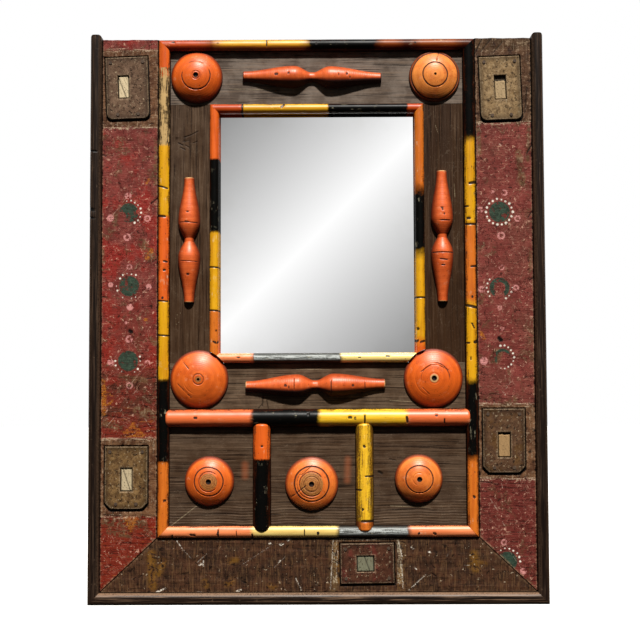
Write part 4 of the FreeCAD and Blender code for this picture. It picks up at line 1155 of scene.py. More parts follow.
def tenon_finish():
    """End wood of the five tenons: a tint per tenon, checks along it and dark pits."""
    f, _ = new_finish("tenon_wood")
    streaks = f.streaks("Z", 0.9, 0.12)
    fine = f.noise(0.8, 5.0, 0.72)
    pits = f.noise(0.5, 4.0, 0.6).step(0.6, 0.66)
    f.colour = f.mix(f.mark("pale"), "56604f", "d8c49e")
    f.lay(f.mark("tan"), "9c7648")
    f.lay(streaks.step(0.5, 0.72) * 0.55, "5d4630")
    f.lay(fine.step(0.46, 0.34) * 0.5, "4a3522")
    f.lay(pits * 0.75, "2a1d12")
    # Painted shade on the tenons' chamfers and broken ends, and their dark checks
    f.lay(f.mark("soil"), "0e0805")
    return f.shade(streaks * 0.2 + 0.6, streaks * 0.6 - pits * 0.5, depth=1.4, specular=0.2)


def glass_finish():
    """Silvered glass: clean in the middle, with the silvering a little clouded towards its edges."""
    f, paints = new_finish("mirror_silver")
    specks = f.noise(0.4, 2.0).step(0.79, 0.82) * f.mark("edge")
    f.colour = f.mix(specks * 0.6, paints.silver, "6a6558")
    f.lay(f.mark("edge") * f.noise(0.02, 4.0).step(0.4, 0.7) * 0.12, "b9b7a8")
    return f.shade(specks * 0.3, others={"Metallic": 1.0})


def raw_wood_finish(name, letter, colour_name):
    """Unpainted wood behind: sawn grain, darker lines and a little dirt."""
    f, paints = new_finish(name)
    streaks, figure = f.grain(letter, 0.5, 0.03)
    saw = f.noise([0.9 if axis == letter else 0.03 for axis in "XYZ"], 3.0)
    f.colour = f.mix(figure.step(0.35, 0.7), getattr(paints, colour_name), "c09c6c")
    f.lay(streaks.step(0.5, 0.75) * 0.6, "6b4e30")
    f.lay(f.noise(0.02, 5.0, 0.65).step(0.5, 0.75) * 0.5, "4f3d2a")
    return f.shade(streaks * 0.2 + 0.6, streaks * 0.6 + saw * 0.4, depth=1.2, specular=0.25)


def metal_finish(name, colour_name, tarnish, metallic, roughness):
    """Plated or plain steel with tarnish in patches."""
    f, paints = new_finish(name)
    patches = f.noise(0.12, 5.0, 0.65).step(0.48, 0.66)
    fine = f.noise(0.9, 4.0)
    f.colour = f.mix(patches * 0.7, getattr(paints, colour_name), tarnish)
    return f.shade(patches * 0.3 + fine * 0.15 + roughness, fine, depth=0.3,
                   others={"Metallic": metallic - patches * metallic * 0.5})


class PieceOperator:
    """Setting that the operators share."""

    bl_options = {"REGISTER", "UNDO"}


class MIRROR_OT_mouldings(PieceOperator, bpy.types.Operator):
    """Three dark mouldings with rounded fronts, mitred at the bottom corners"""

    bl_idname = "mirror.mouldings"
    bl_label = "Mouldings"

    def execute(self, context):
        for side in ("left", "right", "bottom"):
            self.moulding(side + "_moulding", side != "bottom")
        return {"FINISHED"}

    def moulding(self, name, upright):
        """Section with two quarter circles at the front, the tips rounded and the feet cut at 45 degrees."""
        box, sizes = node_box(name), shapes_mm()
        low, high = edges_of(box, upright)
        rounding = sizes.moulding_round * (1 - np.cos(np.linspace(0, np.pi / 2, 9)))
        across = np.concatenate([low + rounding, high - rounding[::-1]]).round(4)
        outer = low if name == "left_moulding" else high

        def profile(wide, lines):
            near = np.minimum(wide - low, high - wide)
            worn = sizes.unevenness * wander(lines, len(name), 90.0) * fall(near, 0, 5) * 0.6
            return box.front - eased(near, sizes.moulding_round) - np.abs(worn)

        def begin(wide):
            return box.foot + np.abs(outer - wide) if upright else box.x0 + wide - box.foot

        def end(wide):
            if not upright:
                return box.x1 - (wide - box.foot)
            return box.top - eased(np.minimum(wide - low, high - wide), sizes.moulding_tip)

        solid = nicked_bar(name, box, upright, profile, across, step=6.0, begin=begin, end=end)
        x, height = flat_places(solid)
        near = edge_gap(x, height, box, upright)
        marks = {"soil": soil_of(solid, name), "edge": fall(near, 0, 5)}
        letter, worn = ("Z", 0.35) if upright else ("X", 1.2)
        finish = moulding_finish(name + "_stain", letter, worn)
        new_piece(name + "_worn", solid, finish, name, marks)


def mitre_distance(x, height):
    """Distance to the nearer of the two mitre joints between the side boards and the bottom board."""
    board = node_box("bottom_board")
    along = math.hypot(1, MITRE_SLOPE)
    return np.abs((board.x1 - np.abs(x)) * MITRE_SLOPE - (height - board.foot)) / along


class MIRROR_OT_outer_boards(PieceOperator, bpy.types.Operator):
    """Left, right and bottom boards, mitred, with shallow recesses for the plates and painted marks"""

    bl_idname = "mirror.outer_boards"
    bl_label = "Outer boards"

    def execute(self, context):
        for name, slot in (("left_board", "red_board"), ("right_board", "red_board"),
                           ("bottom_board", "brown_board")):
            self.board(name, slot)
        return {"FINISHED"}

    def board(self, name, slot):
        """Flat front with worn edges, lowered by the plates' recesses and by the relief of the grain."""
        box, sizes = node_box(name), shapes_mm()
        upright = name != "bottom_board"
        low, high = edges_of(box, upright)
        plates = [plate_place(key) for key, plate in PLATES.items() if plate["board"] == name]
        fine_across, fine_along = [], []
        for plate in plates:
            sides = [plate.x - plate.width / 2 - PLATE_GAP, plate.x + plate.width / 2 + PLATE_GAP]
            ends = [plate.height - plate.tall / 2 - PLATE_FOOT_GAP,
                    plate.height + plate.tall / 2 + PLATE_GAP]
            fine_across += sides if upright else ends
            fine_along += ends if upright else sides
        across = stations(low, high, 1.3, [low + 1, high - 1, *fine_across])
        along = stations(*ends_of(box, upright), 1.5, fine_along)

        def relief(x, height):
            front = box.front - eased(edge_gap(x, height, box, upright), sizes.board_arris)
            grain = wander(x + 0.02 * height, 3, 23.0) if upright else wander(height + 0.02 * x, 4, 19.0)
            lumps = wander(1.3 * x + 0.4 * height, 21, 29.0) * wander(height - 0.3 * x, 22, 37.0)
            front = front + sizes.grain_depth * (grain + 1.6 * lumps - 1)
            front = front - eased(mitre_distance(x, height), sizes.board_arris * 0.8)
            for plate in plates:
                inside = fall(recess_distance(x, height, plate), -0.35, 0.35)
                front = front - (box.front - plate.back) * inside
            return front

        def profile(wide, lines):
            return relief(wide, lines) if upright else relief(lines, wide)

        def begin(wide):
            if upright:
                return box.foot + np.abs(wide - (high if name == "right_board" else low)) * MITRE_SLOPE
            return box.x0 + (wide - low) / MITRE_SLOPE

        def end(wide):
            if upright:
                return box.top + sizes.unevenness * (wander(wide, 8, 40.0) - 1) * 0.8
            return box.x1 - (wide - low) / MITRE_SLOPE

        solid = bar(name, box, upright, profile, across, along, begin, end, run=BOARD_RUN, blur=0.9)
        x, height = flat_places(solid)
        behind = -solid[0][:, 1] / MM < box.back + 0.5
        near = edge_gap(x, height, box, upright)
        gap = np.min([recess_distance(x, height, plate) for plate in plates], 0)
        joint = np.where(behind, FAR, mitre_distance(x, height))
        # The seam mark is the distance to the long edges and the plate recesses, where the finishes paint
        # shade in the gaps
        marks = {"soil": np.maximum(soil_of(solid, name), fall(joint, 0.3, 1.1)),
                 "seam": np.where(behind, FAR, np.minimum(near, gap + 1.0)),
                 "behind": behind,
                 "edge": np.maximum(fall(near, 0, 3.5), fall(joint, 0, 4)),
                 "plate": np.minimum(gap, FAR), **patches_of(name, x, height)}
        if upright:
            green = disc_distance(x, height, [rosette[:4] for rosette in ROSETTES])
            marks["green"] = np.maximum(green, -disc_distance(x, height, GREEN_GONE))
            marks["dots"] = disc_distance(x, height, white_dots())
            marks["flower"] = disc_distance(x, height, FLOWERS)
            marks["rhomb"] = stroke_distance(x, height, rhombs())
        finish = outer_board_finish(name) if upright else bottom_board_finish(name)
        new_piece(name + "_painted", solid, finish, name, marks)


class MIRROR_OT_inner_boards(PieceOperator, bpy.types.Operator):
    """Dark boards round the mirror: two stiles, two rails and the lower panel"""

    bl_idname = "mirror.inner_boards"
    bl_label = "Inner boards"

    def execute(self, context):
        for name, look in INNER_BOARDS.items():
            self.board(name, *look)
        return {"FINISHED"}

    def board(self, name, upright, grey, tint):
        """Flat front with worn edges and ridges along the grain."""
        box, sizes = node_box(name), shapes_mm()
        low, high = edges_of(box, upright)
        across = stations(low, high, 0.9, [low + 1, high - 1])

        def profile(wide, lines):
            near = np.minimum(wide - low, high - wide)
            ridges = 0.5 * wander(wide + 0.012 * lines, len(name) + upright, 17.0) - 0.5
            if name == "lower_panel":
                combed = np.sin(2 * np.pi * (wide + 1.5 * wander(lines, 9, 160.0)) / 3.6)
                ridges = ridges + 1.3 * combed * fall(wide, 112.0, 150.0)
            return box.front - eased(near, sizes.board_arris * 0.6) + sizes.grain_depth * ridges

        step = 1.3 if name == "lower_panel" else 2.5
        solid = nicked_bar(name, box, upright, profile, across, step)
        x, height = flat_places(solid)
        near = edge_gap(x, height, box, upright)
        marks = {"soil": soil_of(solid, name, blur=1.2), "edge": fall(near, 0, 1.6),
                 **patches_of(name, x, height)}
        finish = panel_finish(name, "Z" if upright else "X", grey, tint)
        new_piece(name + "_grained", solid, finish, name, marks)


def half_round(box, upright, straight):
    """Places across a bead, closer together at its sides, and its front: straight sides of that height and
    half an ellipse over them."""
    low, high = edges_of(box, upright)
    turn = np.linspace(math.radians(8), math.radians(172), 17)
    middle, half = (low + high) / 2, (high - low) / 2
    across = middle - half * np.cos(turn) / math.cos(turn[0])
    top = box.front - box.back - straight

    def profile(wide, lines):
        share = np.clip((wide - middle) / half * math.cos(turn[0]), -1, 1)
        return box.back + straight + top * np.sqrt(1 - share ** 2) + 0.25 * wander(lines, 5, 70.0) - 0.25

    return across, profile, low, high


class MIRROR_OT_edge_beads(PieceOperator, bpy.types.Operator):
    """Four banded half-round beads at the edge of the dark boards, mitred at the corners"""

    bl_idname = "mirror.edge_beads"
    bl_label = "Edge beads"

    def execute(self, context):
        for side in ("top", "left", "right", "bottom"):
            banded_bead("edge_bead", side, straight=3.0, foot=0.28)
        return {"FINISHED"}


class MIRROR_OT_mirror_beads(PieceOperator, bpy.types.Operator):
    """Four banded half-round beads that hold the mirror glass, coped round the lower bosses"""

    bl_idname = "mirror.mirror_beads"
    bl_label = "Mirror beads"

    def execute(self, context):
        for side in ("top", "left", "right", "bottom"):
            banded_bead("mirror_bead", side, straight=11.5, foot=0.16)
        return {"FINISHED"}


def bead_box(kind, side):
    """Box of a bead before it is coped: its own width and depth, and the length of its frame of beads."""
    box = node_box(f"{kind}_{side}")
    if side in ("top", "bottom"):
        box.x0, box.x1 = node_box(kind + "_left").x0, node_box(kind + "_right").x1
    else:
        box.foot, box.top = node_box(kind + "_bottom").foot, node_box(kind + "_top").top
    if kind == "edge_bead":
        edge, way = {"left": ("x1", 1), "right": ("x0", -1), "top": ("foot", -1), "bottom": ("top", 1)}[side]
        setattr(box, edge, getattr(box, edge) + way * BEAD_FULLER)
    return box


def past_boss(name, wide, upright, way):
    """Where a bead beside a boss meets its rim: half the chord of the boss at each place across."""
    box = node_box(name)
    mid_x, mid_height = middle_of(box)
    across, along = (mid_x, mid_height) if upright else (mid_height, mid_x)
    reach = (box.x1 - box.x0) / 2 + BOSS_CLEAR
    return along + way * np.sqrt(np.maximum(reach ** 2 - (wide - across) ** 2, 0))


def banded_bead(kind, side, straight, foot):
    """Bead mitred at both ends at 45 degrees; a bead of the mirror stops at the rims of the lower bosses."""
    name = f"{kind}_{side}"
    upright = side in ("left", "right")
    box = bead_box(kind, side)
    across, profile, low, high = half_round(box, upright, straight)
    start, stop = ends_of(box, upright)
    outer = low if side in ("left", "bottom") else high

    def begin(wide):
        mitre = start + np.abs(wide - outer)
        if kind == "edge_bead" or side == "top":
            return mitre
        boss = "boss_low_right" if side == "right" else "boss_low_left"
        return np.maximum(mitre, past_boss(boss, wide, upright, 1))

    def end(wide):
        mitre = stop - np.abs(wide - outer)
        if name != "mirror_bead_bottom":
            return mitre
        return np.minimum(mitre, past_boss("boss_low_right", wide, False, -1))

    solid = nicked_bar(name, box, upright, profile, across, step=4.0, begin=begin, end=end)
    add_banded(name, solid, box, upright, (start, stop), foot)


def add_banded(name, solid, box, upright, ends, foot):
    """Bead or rod with its bands of lacquer. Its side mark is 0 on the crown and 1 at the foot, and its
    across mark is 0 along the middle, 1 at the right or lower side and -1 at the other side."""
    x, height = flat_places(solid)
    depth = -solid[0][:, 1] / MM
    low, high = edges_of(box, upright)
    across = (2 * x - low - high if upright else low + high - 2 * height) / (high - low)
    side = np.clip((box.front - depth) / (box.front - box.back), 0, 1)
    marks = {"soil": soil_of(solid, name), "side": side, "across": across}
    finish = banded_finish(name, "Z" if upright else "X", *ends, foot)
    new_piece(name + "_banded", solid, finish, name, marks)


def half_turned(name, middle, along, radius, face, upright, turn=0.0):
    """Half-round piece whose radius changes along it, counted from its middle: each section is a half circle
    on the board's face, and its two feet stand just above the face."""
    angles = np.linspace(math.radians(3), math.radians(177), 25)
    across = -radius[:, None] * np.cos(angles)
    depth = face + radius[:, None] * np.sin(angles)
    lines = np.broadcast_to(along[:, None], across.shape)
    across, lines = (across, lines) if upright else (lines, across)
    x, height = turned_to(across, lines, turn)
    x, height = x + middle[0], height + middle[1]
    depth = depth - shapes_mm().nick_depth * nicked(name, x, height)
    return raised(x, height, np.maximum(depth, face + 0.1), face)


class MIRROR_OT_rods(PieceOperator, bpy.types.Operator):
    """Thick half-round rods: one across under the mirror and two posts below it"""

    bl_idname = "mirror.rods"
    bl_label = "Rods"

    def execute(self, context):
        for name, upright in (("cross_rod", False), ("left_post_rod", True), ("right_post_rod", True)):
            box = node_box(name)
            if upright:
                box.top -= POST_SHORT
            low, high = ends_of(box, upright)
            ends = [low + 1.5, low + 3.5, high - 1.5, high - 3.5]
            along = stations(low, high, 4.0, [*np.unique(nick_places(name, upright)), *ends])
            radius = box.front - box.back - eased(np.minimum(along - low, high - along) + 0.05, ROD_END)
            radius = radius - 0.2 + 0.2 * wander(along, len(name), 60.0)
            from_middle = along - (low + high) / 2
            solid = half_turned(name, middle_of(box), from_middle, radius, box.back, upright)
            add_banded(name, solid, box, upright, (low, high), foot=0.5)
        return {"FINISHED"}


class MIRROR_OT_bosses(PieceOperator, bpy.types.Operator):
    """Seven turned bosses with crowned faces, turned rings and a screw hole in the middle"""

    bl_idname = "mirror.bosses"
    bl_label = "Bosses"

    def execute(self, context):
        finish = turned_finish("boss_lacquer", "orange")
        for name, boss in BOSSES.items():
            self.boss(name, boss, finish)
        return {"FINISHED"}

    def boss(self, name, boss, finish):
        """Crown of a sphere over a straight rim, less half-round ring grooves, cracks and the hole."""
        box, sizes = node_box(name), shapes_mm()
        mid_x, mid_height = middle_of(box)
        radius = (box.x1 - box.x0) / 2
        hole_radius = boss.get("hole", BOSS_HOLE)
        places = [hole_radius, *(ring[0] for ring in boss["rings"])]
        loops = stations(0.8, radius, 1.2, [*places, radius - 1.5], reach=1.8, fine_step=0.35)
        radii = np.concatenate([[0.0], loops])
        angles = np.linspace(0, 2 * np.pi, BOSS_TURNS + 1)[:-1]
        crown = box.front - box.back - BOSS_RIM
        sphere = (radius ** 2 + crown ** 2) / (2 * crown)
        dome = box.front - sphere + np.sqrt(sphere ** 2 - radii ** 2)
        dome = dome - eased(radius - radii, 0.8)
        groove = self.grooves(boss["rings"], radii[:, None], angles, sizes.ring_width)
        hole = fall(radii, hole_radius - 0.25, hole_radius + 0.25)
        wobble = 0.25 * wander(angles * 40.0, len(name), 251.3)
        x = mid_x + radii[:, None] * np.cos(angles)
        height = mid_height + radii[:, None] * np.sin(angles)
        cut = nicked(name, x, height, blur=0.6)
        front = (dome - hole * BOSS_HOLE_DEPTH)[:, None] + wobble * (radii[:, None] / radius)
        front = front - groove * sizes.ring_depth - cut * sizes.nick_depth
        solid = turned(mid_x, mid_height, radii, angles, front, box.back)
        x, height = flat_places(solid)
        out = np.hypot(x - mid_x, height - mid_height)
        turn = np.arctan2(height - mid_height, x - mid_x)
        soil = np.maximum(self.grooves(boss["rings"], out, turn, sizes.ring_width), soil_of(solid, name))
        soil = np.maximum(soil, fall(out, hole_radius, hole_radius + 0.8))
        marks = {"soil": soil, "out": out, "gold": boss["gold"], "wood": boss.get("wood", 0.0),
                 # flank: painted shade towards the boss's rim
                 "flank": rise(out, radius * 0.78, radius),
                 "bare": fall(out, boss["bare"] * 0.75, boss["bare"] * 1.05 + 0.01)}
        new_piece(name + "_turned", solid, finish, name, marks)

    def grooves(self, rings, out, turn, width):
        """Depth share of the ring grooves: half rounds about each radius, which wavers a little and fades
        at both ends of the ring's arc."""
        depth = np.zeros(np.broadcast(out, turn).shape)
        for radius, share, start, stop in rings:
            wavering = radius + 0.35 * wander(turn * 40.0, int(radius), 125.7)
            round_share = np.sqrt(np.clip(1 - ((out - wavering) / width) ** 2, 0, 1))
            past = np.mod(np.degrees(turn) - start, 360.0)
            arc = 1.0
            if stop - start < 360:
                arc = rise(past, 0.0, 25.0) * fall(past, stop - start - 25.0, stop - start)
            depth = np.maximum(depth, round_share * share * arc)
        return depth


class MIRROR_OT_spindles(PieceOperator, bpy.types.Operator):
    """Four split spindles with two bulges either side of a waist"""

    bl_idname = "mirror.spindles"
    bl_label = "Spindles"

    def execute(self, context):
        finish = turned_finish("spindle_lacquer", "spindle")
        for name, tilt in SPINDLES.items():
            self.spindle(name, tilt, finish)
        return {"FINISHED"}

    def spindle(self, name, tilt, finish):
        """Radius along the spindle: a sine from the waist up to the bulge, steeper at the neck of the
        upright ones, and a squared sine down to the end."""
        box = node_box(name)
        upright = name in ("spindle_left", "spindle_right")
        low, high = ends_of(box, upright)
        half = (high - low) / 2
        bulge = box.front - box.back + SPINDLE_FULLER
        fine = np.unique((nick_places(name, upright) - (low + high) / 2).round())
        along = stations(-half, half, 1.6, [*fine, 1.0 - half, half - 1.0, -3.0, 3.0])
        out = np.abs(along)
        swell = np.clip((out - SPINDLE_NECK) / (SPINDLE_BULGE_AT - SPINDLE_NECK), 0, 1)
        taper = np.clip((half - out) / (half - SPINDLE_BULGE_AT), 0, 1)
        steep = 1.0 if upright else 1.5
        inner = SPINDLE_WAIST + (bulge - SPINDLE_WAIST) * np.sin(swell * np.pi / 2) ** steep
        outer = SPINDLE_END + (bulge - SPINDLE_END) * np.sin(taper * np.pi / 2) ** 2
        radius = np.where(out < SPINDLE_BULGE_AT, inner, outer) - eased(half - out + 0.05, 1.2)
        mid_x, mid_height = middle_of(box)
        solid = half_turned(name, (mid_x, mid_height), along, radius, box.back, upright, math.radians(tilt))
        x, height = flat_places(solid)
        x, height = x - mid_x, height - mid_height
        lengthways, sideways = (height, x) if upright else (x, -height)
        away = np.abs(lengthways)
        share = sideways / np.interp(lengthways, along, radius)
        # flank: painted shade on the spindle's sides, on a level spindle far more on its lower side
        flank = np.abs(share) if upright else np.where(share > 0, share * 2.1, share * -0.8)
        ends = fall(half - away, 0.0, 2.5)
        dark_ends = ends * (name == "spindle_top")
        marks = {"soil": np.maximum(soil_of(solid, name), dark_ends), "out": away,
                 "gold": 0.1, "wood": 1.0, "flank": flank, "bare": ends - dark_ends}
        new_piece(name + "_turned", solid, finish, name, marks)


def plate_loop(width, tall, corner, count=40):
    """Closed outline round a plate: count points along each side of a rectangle, with the lower corners
    pulled in to a quarter circle or to a straight cut."""
    share = np.linspace(-1, 1, count, endpoint=False)
    flat = np.ones(count)
    x = np.concatenate([flat, -share, -flat, share]) * width / 2
    up = np.concatenate([share, flat, -share, -flat]) * tall / 2
    if corner == "square":
        return x, up
    inner_x = np.clip(x, PLATE_CORNER - width / 2, width / 2 - PLATE_CORNER)
    inner_up = np.maximum(up, PLATE_CORNER - tall / 2)
    off_x, off_up = x - inner_x, up - inner_up
    reach = np.hypot(off_x, off_up) if corner == "round" else np.abs(off_x) + np.abs(off_up)
    pull = np.where(up < PLATE_CORNER - tall / 2, PLATE_CORNER / np.maximum(reach, 1e-6), 1.0)
    return inner_x + off_x * pull, inner_up + off_up * pull


class MIRROR_OT_plates(PieceOperator, bpy.types.Operator):
    """Five slotted plates in the recesses of the outer boards"""

    bl_idname = "mirror.plates"
    bl_label = "Plates"

    def execute(self, context):
        for name, plate in PLATES.items():
            self.plate(name, plate_finish(name, *plate["tones"]))
        return {"FINISHED"}

    def plate(self, name, finish):
        """Loops from the slot's edge to the rim, each at its depth: the front between them is a straight
        blend of the two outlines, and both arrises are rounded."""
        plate = plate_place(name)
        across, up, wide, tall = plate.slot
        drops = [(0.0, None), (0.0, 1.1), (0.35, 0.4), (1.0, 0.05)]
        inner = [plate_loop(wide + 2 * grow, tall + 2 * grow, "square") for grow, _ in drops]
        inner = [(x + across, h + up) for x, h in inner]
        rims = [(2.2, 0.0), (1.1, 0.12), (0.45, 0.55), (0.0, 1.3), (0.0, None)]
        outer = [plate_loop(plate.width - 2 * inset, plate.tall - 2 * inset, plate.corner)
                 for inset, _ in rims]
        shares = np.linspace(0, 1, 12)[1:-1]
        between = [tuple(a + (b - a) * share for a, b in zip(inner[-1], outer[0])) for share in shares]
        x, height = np.array(inner + between + outer).swapaxes(0, 1)
        drop = [d for _, d in drops] + [0.0] * len(shares) + [d for _, d in rims]
        front = np.array([plate.back if d is None else plate.front - d for d in drop])[:, None]
        dents = 0.18 * wander(x + 0.6 * height, len(name), 31.0) - 0.3
        dents = dents + 0.14 * wander(height - 0.4 * x, 6, 23.0)
        inside = np.array([d == 0.0 for d in drop])[:, None]
        depth = front + np.where(inside, dents, 0.0)
        x, height = turned_to(x, height, plate.turn)
        points = to_frame(x + plate.x, depth, height + plate.height).reshape(-1, 3)
        solid = points, grid_quads(*depth.shape, True, True).tolist()
        edge = np.repeat([1.0 if d is None or d > 0.02 else 0.0 for d in drop], depth.shape[1])
        # Painted shade in the gaps: full at the back of the walls into the recess and the slot, half on
        # loops more than 1 mm down, none on the face
        sunk = np.repeat([1.0 if d is None else 0.5 * (d > 1.0) for d in drop], depth.shape[1])
        rim = np.repeat([0.0] * len(inner) + list(shares) + [1.0] * len(outer), depth.shape[1])
        marks = {"edge": edge, "soil": sunk, "rim": rim}
        new_piece(name + "_worn", solid, finish, name, marks)


class MIRROR_OT_tenons(PieceOperator, bpy.types.Operator):
    """Five tenon ends that stand in the plates' slots"""

    bl_idname = "mirror.tenons"
    bl_label = "Tenons"

    def execute(self, context):
        solids, looks = [], []
        for name, plate in PLATES.items():
            light, brown, notch = plate["tenon"]
            (points, faces), dark = self.tenon(plate_place(name), len(solids), notch)
            start = sum(len(solid[0]) for solid in solids)
            solids.append((points, [[i + start for i in face] for face in outward(points, faces)]))
            looks.append(np.broadcast_arrays(light, brown, dark))
        joined = (np.concatenate([points for points, _ in solids]),
                  [face for _, faces in solids for face in faces])
        marks = dict(zip(("pale", "tan", "soil"), np.concatenate(looks, 1)))
        new_piece("slot_tenon_ends", joined, tenon_finish(), "slot_tenons", marks)
        return {"FINISHED"}

    def tenon(self, plate, seed, notch):
        """Block with chamfered sides, a slanting check across it, uneven end wood, and its upper end broken
        off above the notch."""
        across, up, wide, tall = plate.slot
        x = stations(-wide / 2, wide / 2, 0.8, [1.0 - wide / 2, wide / 2 - 1.0])
        h = stations(-tall / 2, tall / 2, 0.8, [1.0 - tall / 2, tall / 2 - 1.0])[:, None]
        x, h = np.broadcast_arrays(x, h)
        near = np.minimum(wide / 2 - np.abs(x), tall / 2 - np.abs(h))
        chamfer = fall(near, 0.3, 1.7)
        check = fall(np.abs(x + 0.35 * h - seed + 2.0), 0.2, 0.9) * (seed % 2 == 0)
        broken = rise(h + wander(x, seed, 11.0), notch - 0.8, notch + 0.8)
        front = plate.front - TENON_SINK - TENON_CHAMFER * np.maximum(chamfer, broken) - 0.7 * check
        front = front + 0.15 * wander(x * 2 + h, seed, 9.0) - 0.15
        # Tenon darkness: painted shade on the chamfered sides in the slot and on the broken-off upper end,
        # and the dark check across it
        dark = np.clip(chamfer + 0.9 * broken + 0.8 * check, 0, 1).ravel()
        x, h = turned_to(x + across, h + up, plate.turn)
        solid = raised(x + plate.x, h + plate.height, front, plate.back - TENON_BEHIND)
        return solid, np.append(dark, np.ones(len(solid[0]) - len(dark)))


class MIRROR_OT_glass(PieceOperator, bpy.types.Operator):
    """Silvered glass behind the mirror beads"""

    bl_idname = "mirror.glass"
    bl_label = "Glass"

    def execute(self, context):
        """Flat sheet with its arrises ground off."""
        box = node_box("mirror_glass")
        x, height = (stations(low, high, 20.0, [low + GLASS_ARRIS, high - GLASS_ARRIS], reach=0.9,
                              fine_step=0.3) for low, high in (edges_of(box, True), ends_of(box, True)))
        x, height = np.broadcast_arrays(x, height[:, None])

        def rim_gap(x, height):
            return np.minimum(edge_gap(x, height, box, True), edge_gap(x, height, box, False))

        ground = np.clip(GLASS_ARRIS - rim_gap(x, height), 0, GLASS_ARRIS)
        solid = raised(x, height, box.front - ground, box.back)
        marks = {"edge": fall(rim_gap(*flat_places(solid)), 0, CLOUD_REACH)}
        new_piece("mirror_sheet", solid, glass_finish(), "mirror_glass", marks, crease=20)
        return {"FINISHED"}


class MIRROR_OT_hardware(PieceOperator, bpy.types.Operator):
    """Finishes of the battens, backing, fasteners and hangers, which keep their CAD shapes"""

    bl_idname = "mirror.hardware"
    bl_label = "Battens and hardware"

    def execute(self, context):
        zinc_nodes = [f"{node}_{side}" for side in ("left", "right") for node in
                      ("hanger_strap", "hanger_ring", "turn_button_upper", "turn_button_lower")]
        looks = (
            (raw_wood_finish("batten_upright_wood", "Z", "raw_wood"),
             ["batten_left", "batten_right", "dowels"]),
            (raw_wood_finish("batten_level_wood", "X", "raw_wood"), ["batten_top", "batten_bottom"]),
            (metal_finish("zinc_steel", "zinc", "6d6f6e", metallic=0.9, roughness=0.3),
             ["batten_screws", "hardware_screws", *zinc_nodes]),
            (metal_finish("dark_iron", "iron", "4a2c1c", metallic=0.6, roughness=0.45),
             ["panel_pins", "boss_screws"]),
            (metal_finish("rusted_iron", "rust", "2c2018", metallic=0.2, roughness=0.6), ["plate_nails"]),
            (raw_wood_finish("backing_ply", "X", "ply"), ["backing_board"]))
        for finish, nodes in looks:
            for node in nodes:
                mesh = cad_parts[node].data
                mesh.materials.clear()
                mesh.materials.append(finish)
        return {"FINISHED"}


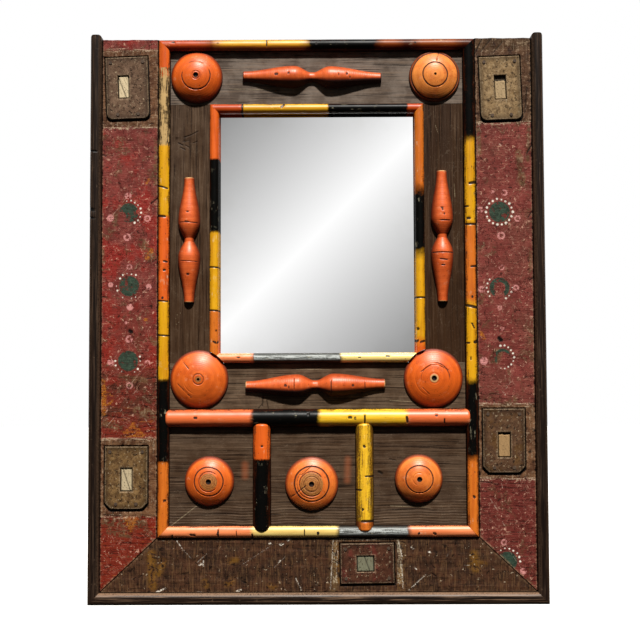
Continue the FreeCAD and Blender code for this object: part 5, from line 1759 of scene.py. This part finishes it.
class MIRROR_OT_stage(PieceOperator, bpy.types.Operator):
    """Pale floor, light from above the viewer, white surroundings and the camera"""

    bl_idname = "mirror.stage"
    bl_label = "Stage"

    def execute(self, context):
        self.floor()
        self.surroundings()
        self.lamp()
        self.camera()
        bpy.context.scene.view_settings.view_transform = "Standard"
        return {"FINISHED"}

    def seen(self, f):
        """1 for rays that show the surroundings: from the camera, off the mirror or through glass."""
        camera, singular, through = f.rays("Is Camera Ray", "Is Singular Ray", "Is Transmission Ray")
        return camera.most(singular).most(through)

    def floor(self):
        """Large flat square under the bottom edge. It is pale where it is seen, and darker for the light
        that it throws back at the object."""
        mesh = bpy.data.meshes.new("floor")
        corners = np.array([(-1, -1), (1, -1), (1, 1), (-1, 1)]) * FLOOR_REACH
        mesh.from_pydata(np.column_stack([corners, np.full(4, FOOT)]).tolist(), [], [[0, 1, 2, 3]])
        f, _ = new_finish("floor_pale")
        dust = f.noise(0.004, 3.0)
        shown = f.mix(dust * 0.04, (0.93, 0.93, 0.93, 1.0), (0.88, 0.88, 0.87, 1.0))
        f.colour = f.mix(self.seen(f), (0.02, 0.02, 0.02, 1.0), shown)
        mesh.materials.append(f.shade(0.9, specular=0.0))
        floor = add_object("floor", mesh)

    def surroundings(self):
        """White to the camera. The mirror sees a soft diagonal shade ahead and a pale room elsewhere,
        rougher gloss sees a dim room, and a dim dome, brighter above and behind, lights everything else."""
        world = bpy.data.worlds.new("studio")
        bpy.context.scene.world = world
        f = Finish(world)
        direction = f.node("ShaderNodeTexCoord", output="Generated")
        x, y, z = (f.axis(direction, letter) for letter in "XYZ")
        slant = (x - z) / (y * -1.0).most(0.2)
        level = (1.0 - (slant + 0.134).size() * 2.46).most(0.45)
        faced = f.node("ShaderNodeVectorMath", {"operation": "DOT_PRODUCT"},
                       {0: direction, 1: MIRROR_FACES}, "Value")
        ahead = faced.step(0.966, 0.988)
        mirrored = ahead * level * level * 1.12 + (1.0 - ahead) * 0.85
        rough = z.step(0.0, 0.95) * 0.5 + y.step(0.0, 0.6) * 0.7 + 0.03
        dome = z.step(-0.2, 0.95) * 0.11 + y.step(0.0, 0.7) * 0.65 + 0.012
        camera, glossy, singular, diffused = f.rays("Is Camera Ray", "Is Glossy Ray", "Is Singular Ray",
                                                    "Diffuse Depth")
        sharp = singular * diffused.step(0.6, 0.4)
        gloss = sharp * mirrored + (1.0 - sharp) * rough
        strength = camera + (1.0 - camera) * (glossy * gloss + (1.0 - glossy) * dome)
        background = f.node("ShaderNodeBackground", None,
                            {"Color": (1.0, 1.0, 1.0, 1.0), "Strength": strength})
        f.node("ShaderNodeOutputWorld", None, {"Surface": background})

    def lamp(self):
        """Soft sun from above the viewer and a little to the right."""
        light = bpy.data.lights.new("key", "SUN")
        light.energy = SUN_STRENGTH
        light.angle = math.radians(SUN_WIDTH)
        light.color = SUN_COLOUR
        key = add_object("key", light)
        towards = Vector((-SUN_ASIDE, math.cos(SUN_HIGH), -math.sin(SUN_HIGH)))
        key.rotation_euler = towards.to_track_quat("-Z", "Y").to_euler()

    def camera(self):
        """Camera at its place: rolled, tilted up from level, then turned about the upright."""
        data = bpy.data.cameras.new("camera")
        data.lens = CAMERA_LENS
        data.sensor_width = SENSOR
        camera = add_object("camera", data)
        turns = [Matrix.Rotation(math.radians(angle), 4, axis)
                 for angle, axis in ((-CAMERA_YAW, "Z"), (90 + CAMERA_PITCH, "X"), (CAMERA_ROLL, "Z"))]
        camera.matrix_world = Matrix.Translation(CAMERA_PLACE) @ turns[0] @ turns[1] @ turns[2]
        bpy.context.scene.camera = camera


OPERATORS = (MIRROR_OT_mouldings, MIRROR_OT_outer_boards, MIRROR_OT_inner_boards, MIRROR_OT_edge_beads,
             MIRROR_OT_mirror_beads, MIRROR_OT_rods, MIRROR_OT_bosses, MIRROR_OT_spindles, MIRROR_OT_plates,
             MIRROR_OT_tenons, MIRROR_OT_glass, MIRROR_OT_hardware, MIRROR_OT_stage)


class MIRROR_PT_sidebar(bpy.types.Panel):
    """Pieces and finishes of the wall mirror"""

    bl_idname = "MIRROR_PT_sidebar"
    bl_label = "Wall mirror"
    bl_space_type = "VIEW_3D"
    bl_region_type = "UI"
    bl_category = "Wall mirror"

    def draw(self, context):
        for operator in OPERATORS:
            self.layout.operator(operator.bl_idname)
        for group in (context.scene.mirror_shapes, context.scene.mirror_paints):
            for name in type(group).__annotations__:
                self.layout.prop(group, name)


CLASSES = (MirrorPaints, MirrorShapes, *OPERATORS, MIRROR_PT_sidebar)


def register():
    for cls in CLASSES:
        bpy.utils.register_class(cls)
    bpy.types.Scene.mirror_paints = bpy.props.PointerProperty(type=MirrorPaints)
    bpy.types.Scene.mirror_shapes = bpy.props.PointerProperty(type=MirrorShapes)


def unregister():
    del bpy.types.Scene.mirror_shapes
    del bpy.types.Scene.mirror_paints
    for cls in reversed(CLASSES):
        bpy.utils.unregister_class(cls)


def main():
    """Make every piece in order."""
    register()
    for operator in OPERATORS:
        group, name = operator.bl_idname.split(".")
        getattr(getattr(bpy.ops, group), name)()


if __name__ == "__main__":
    main()
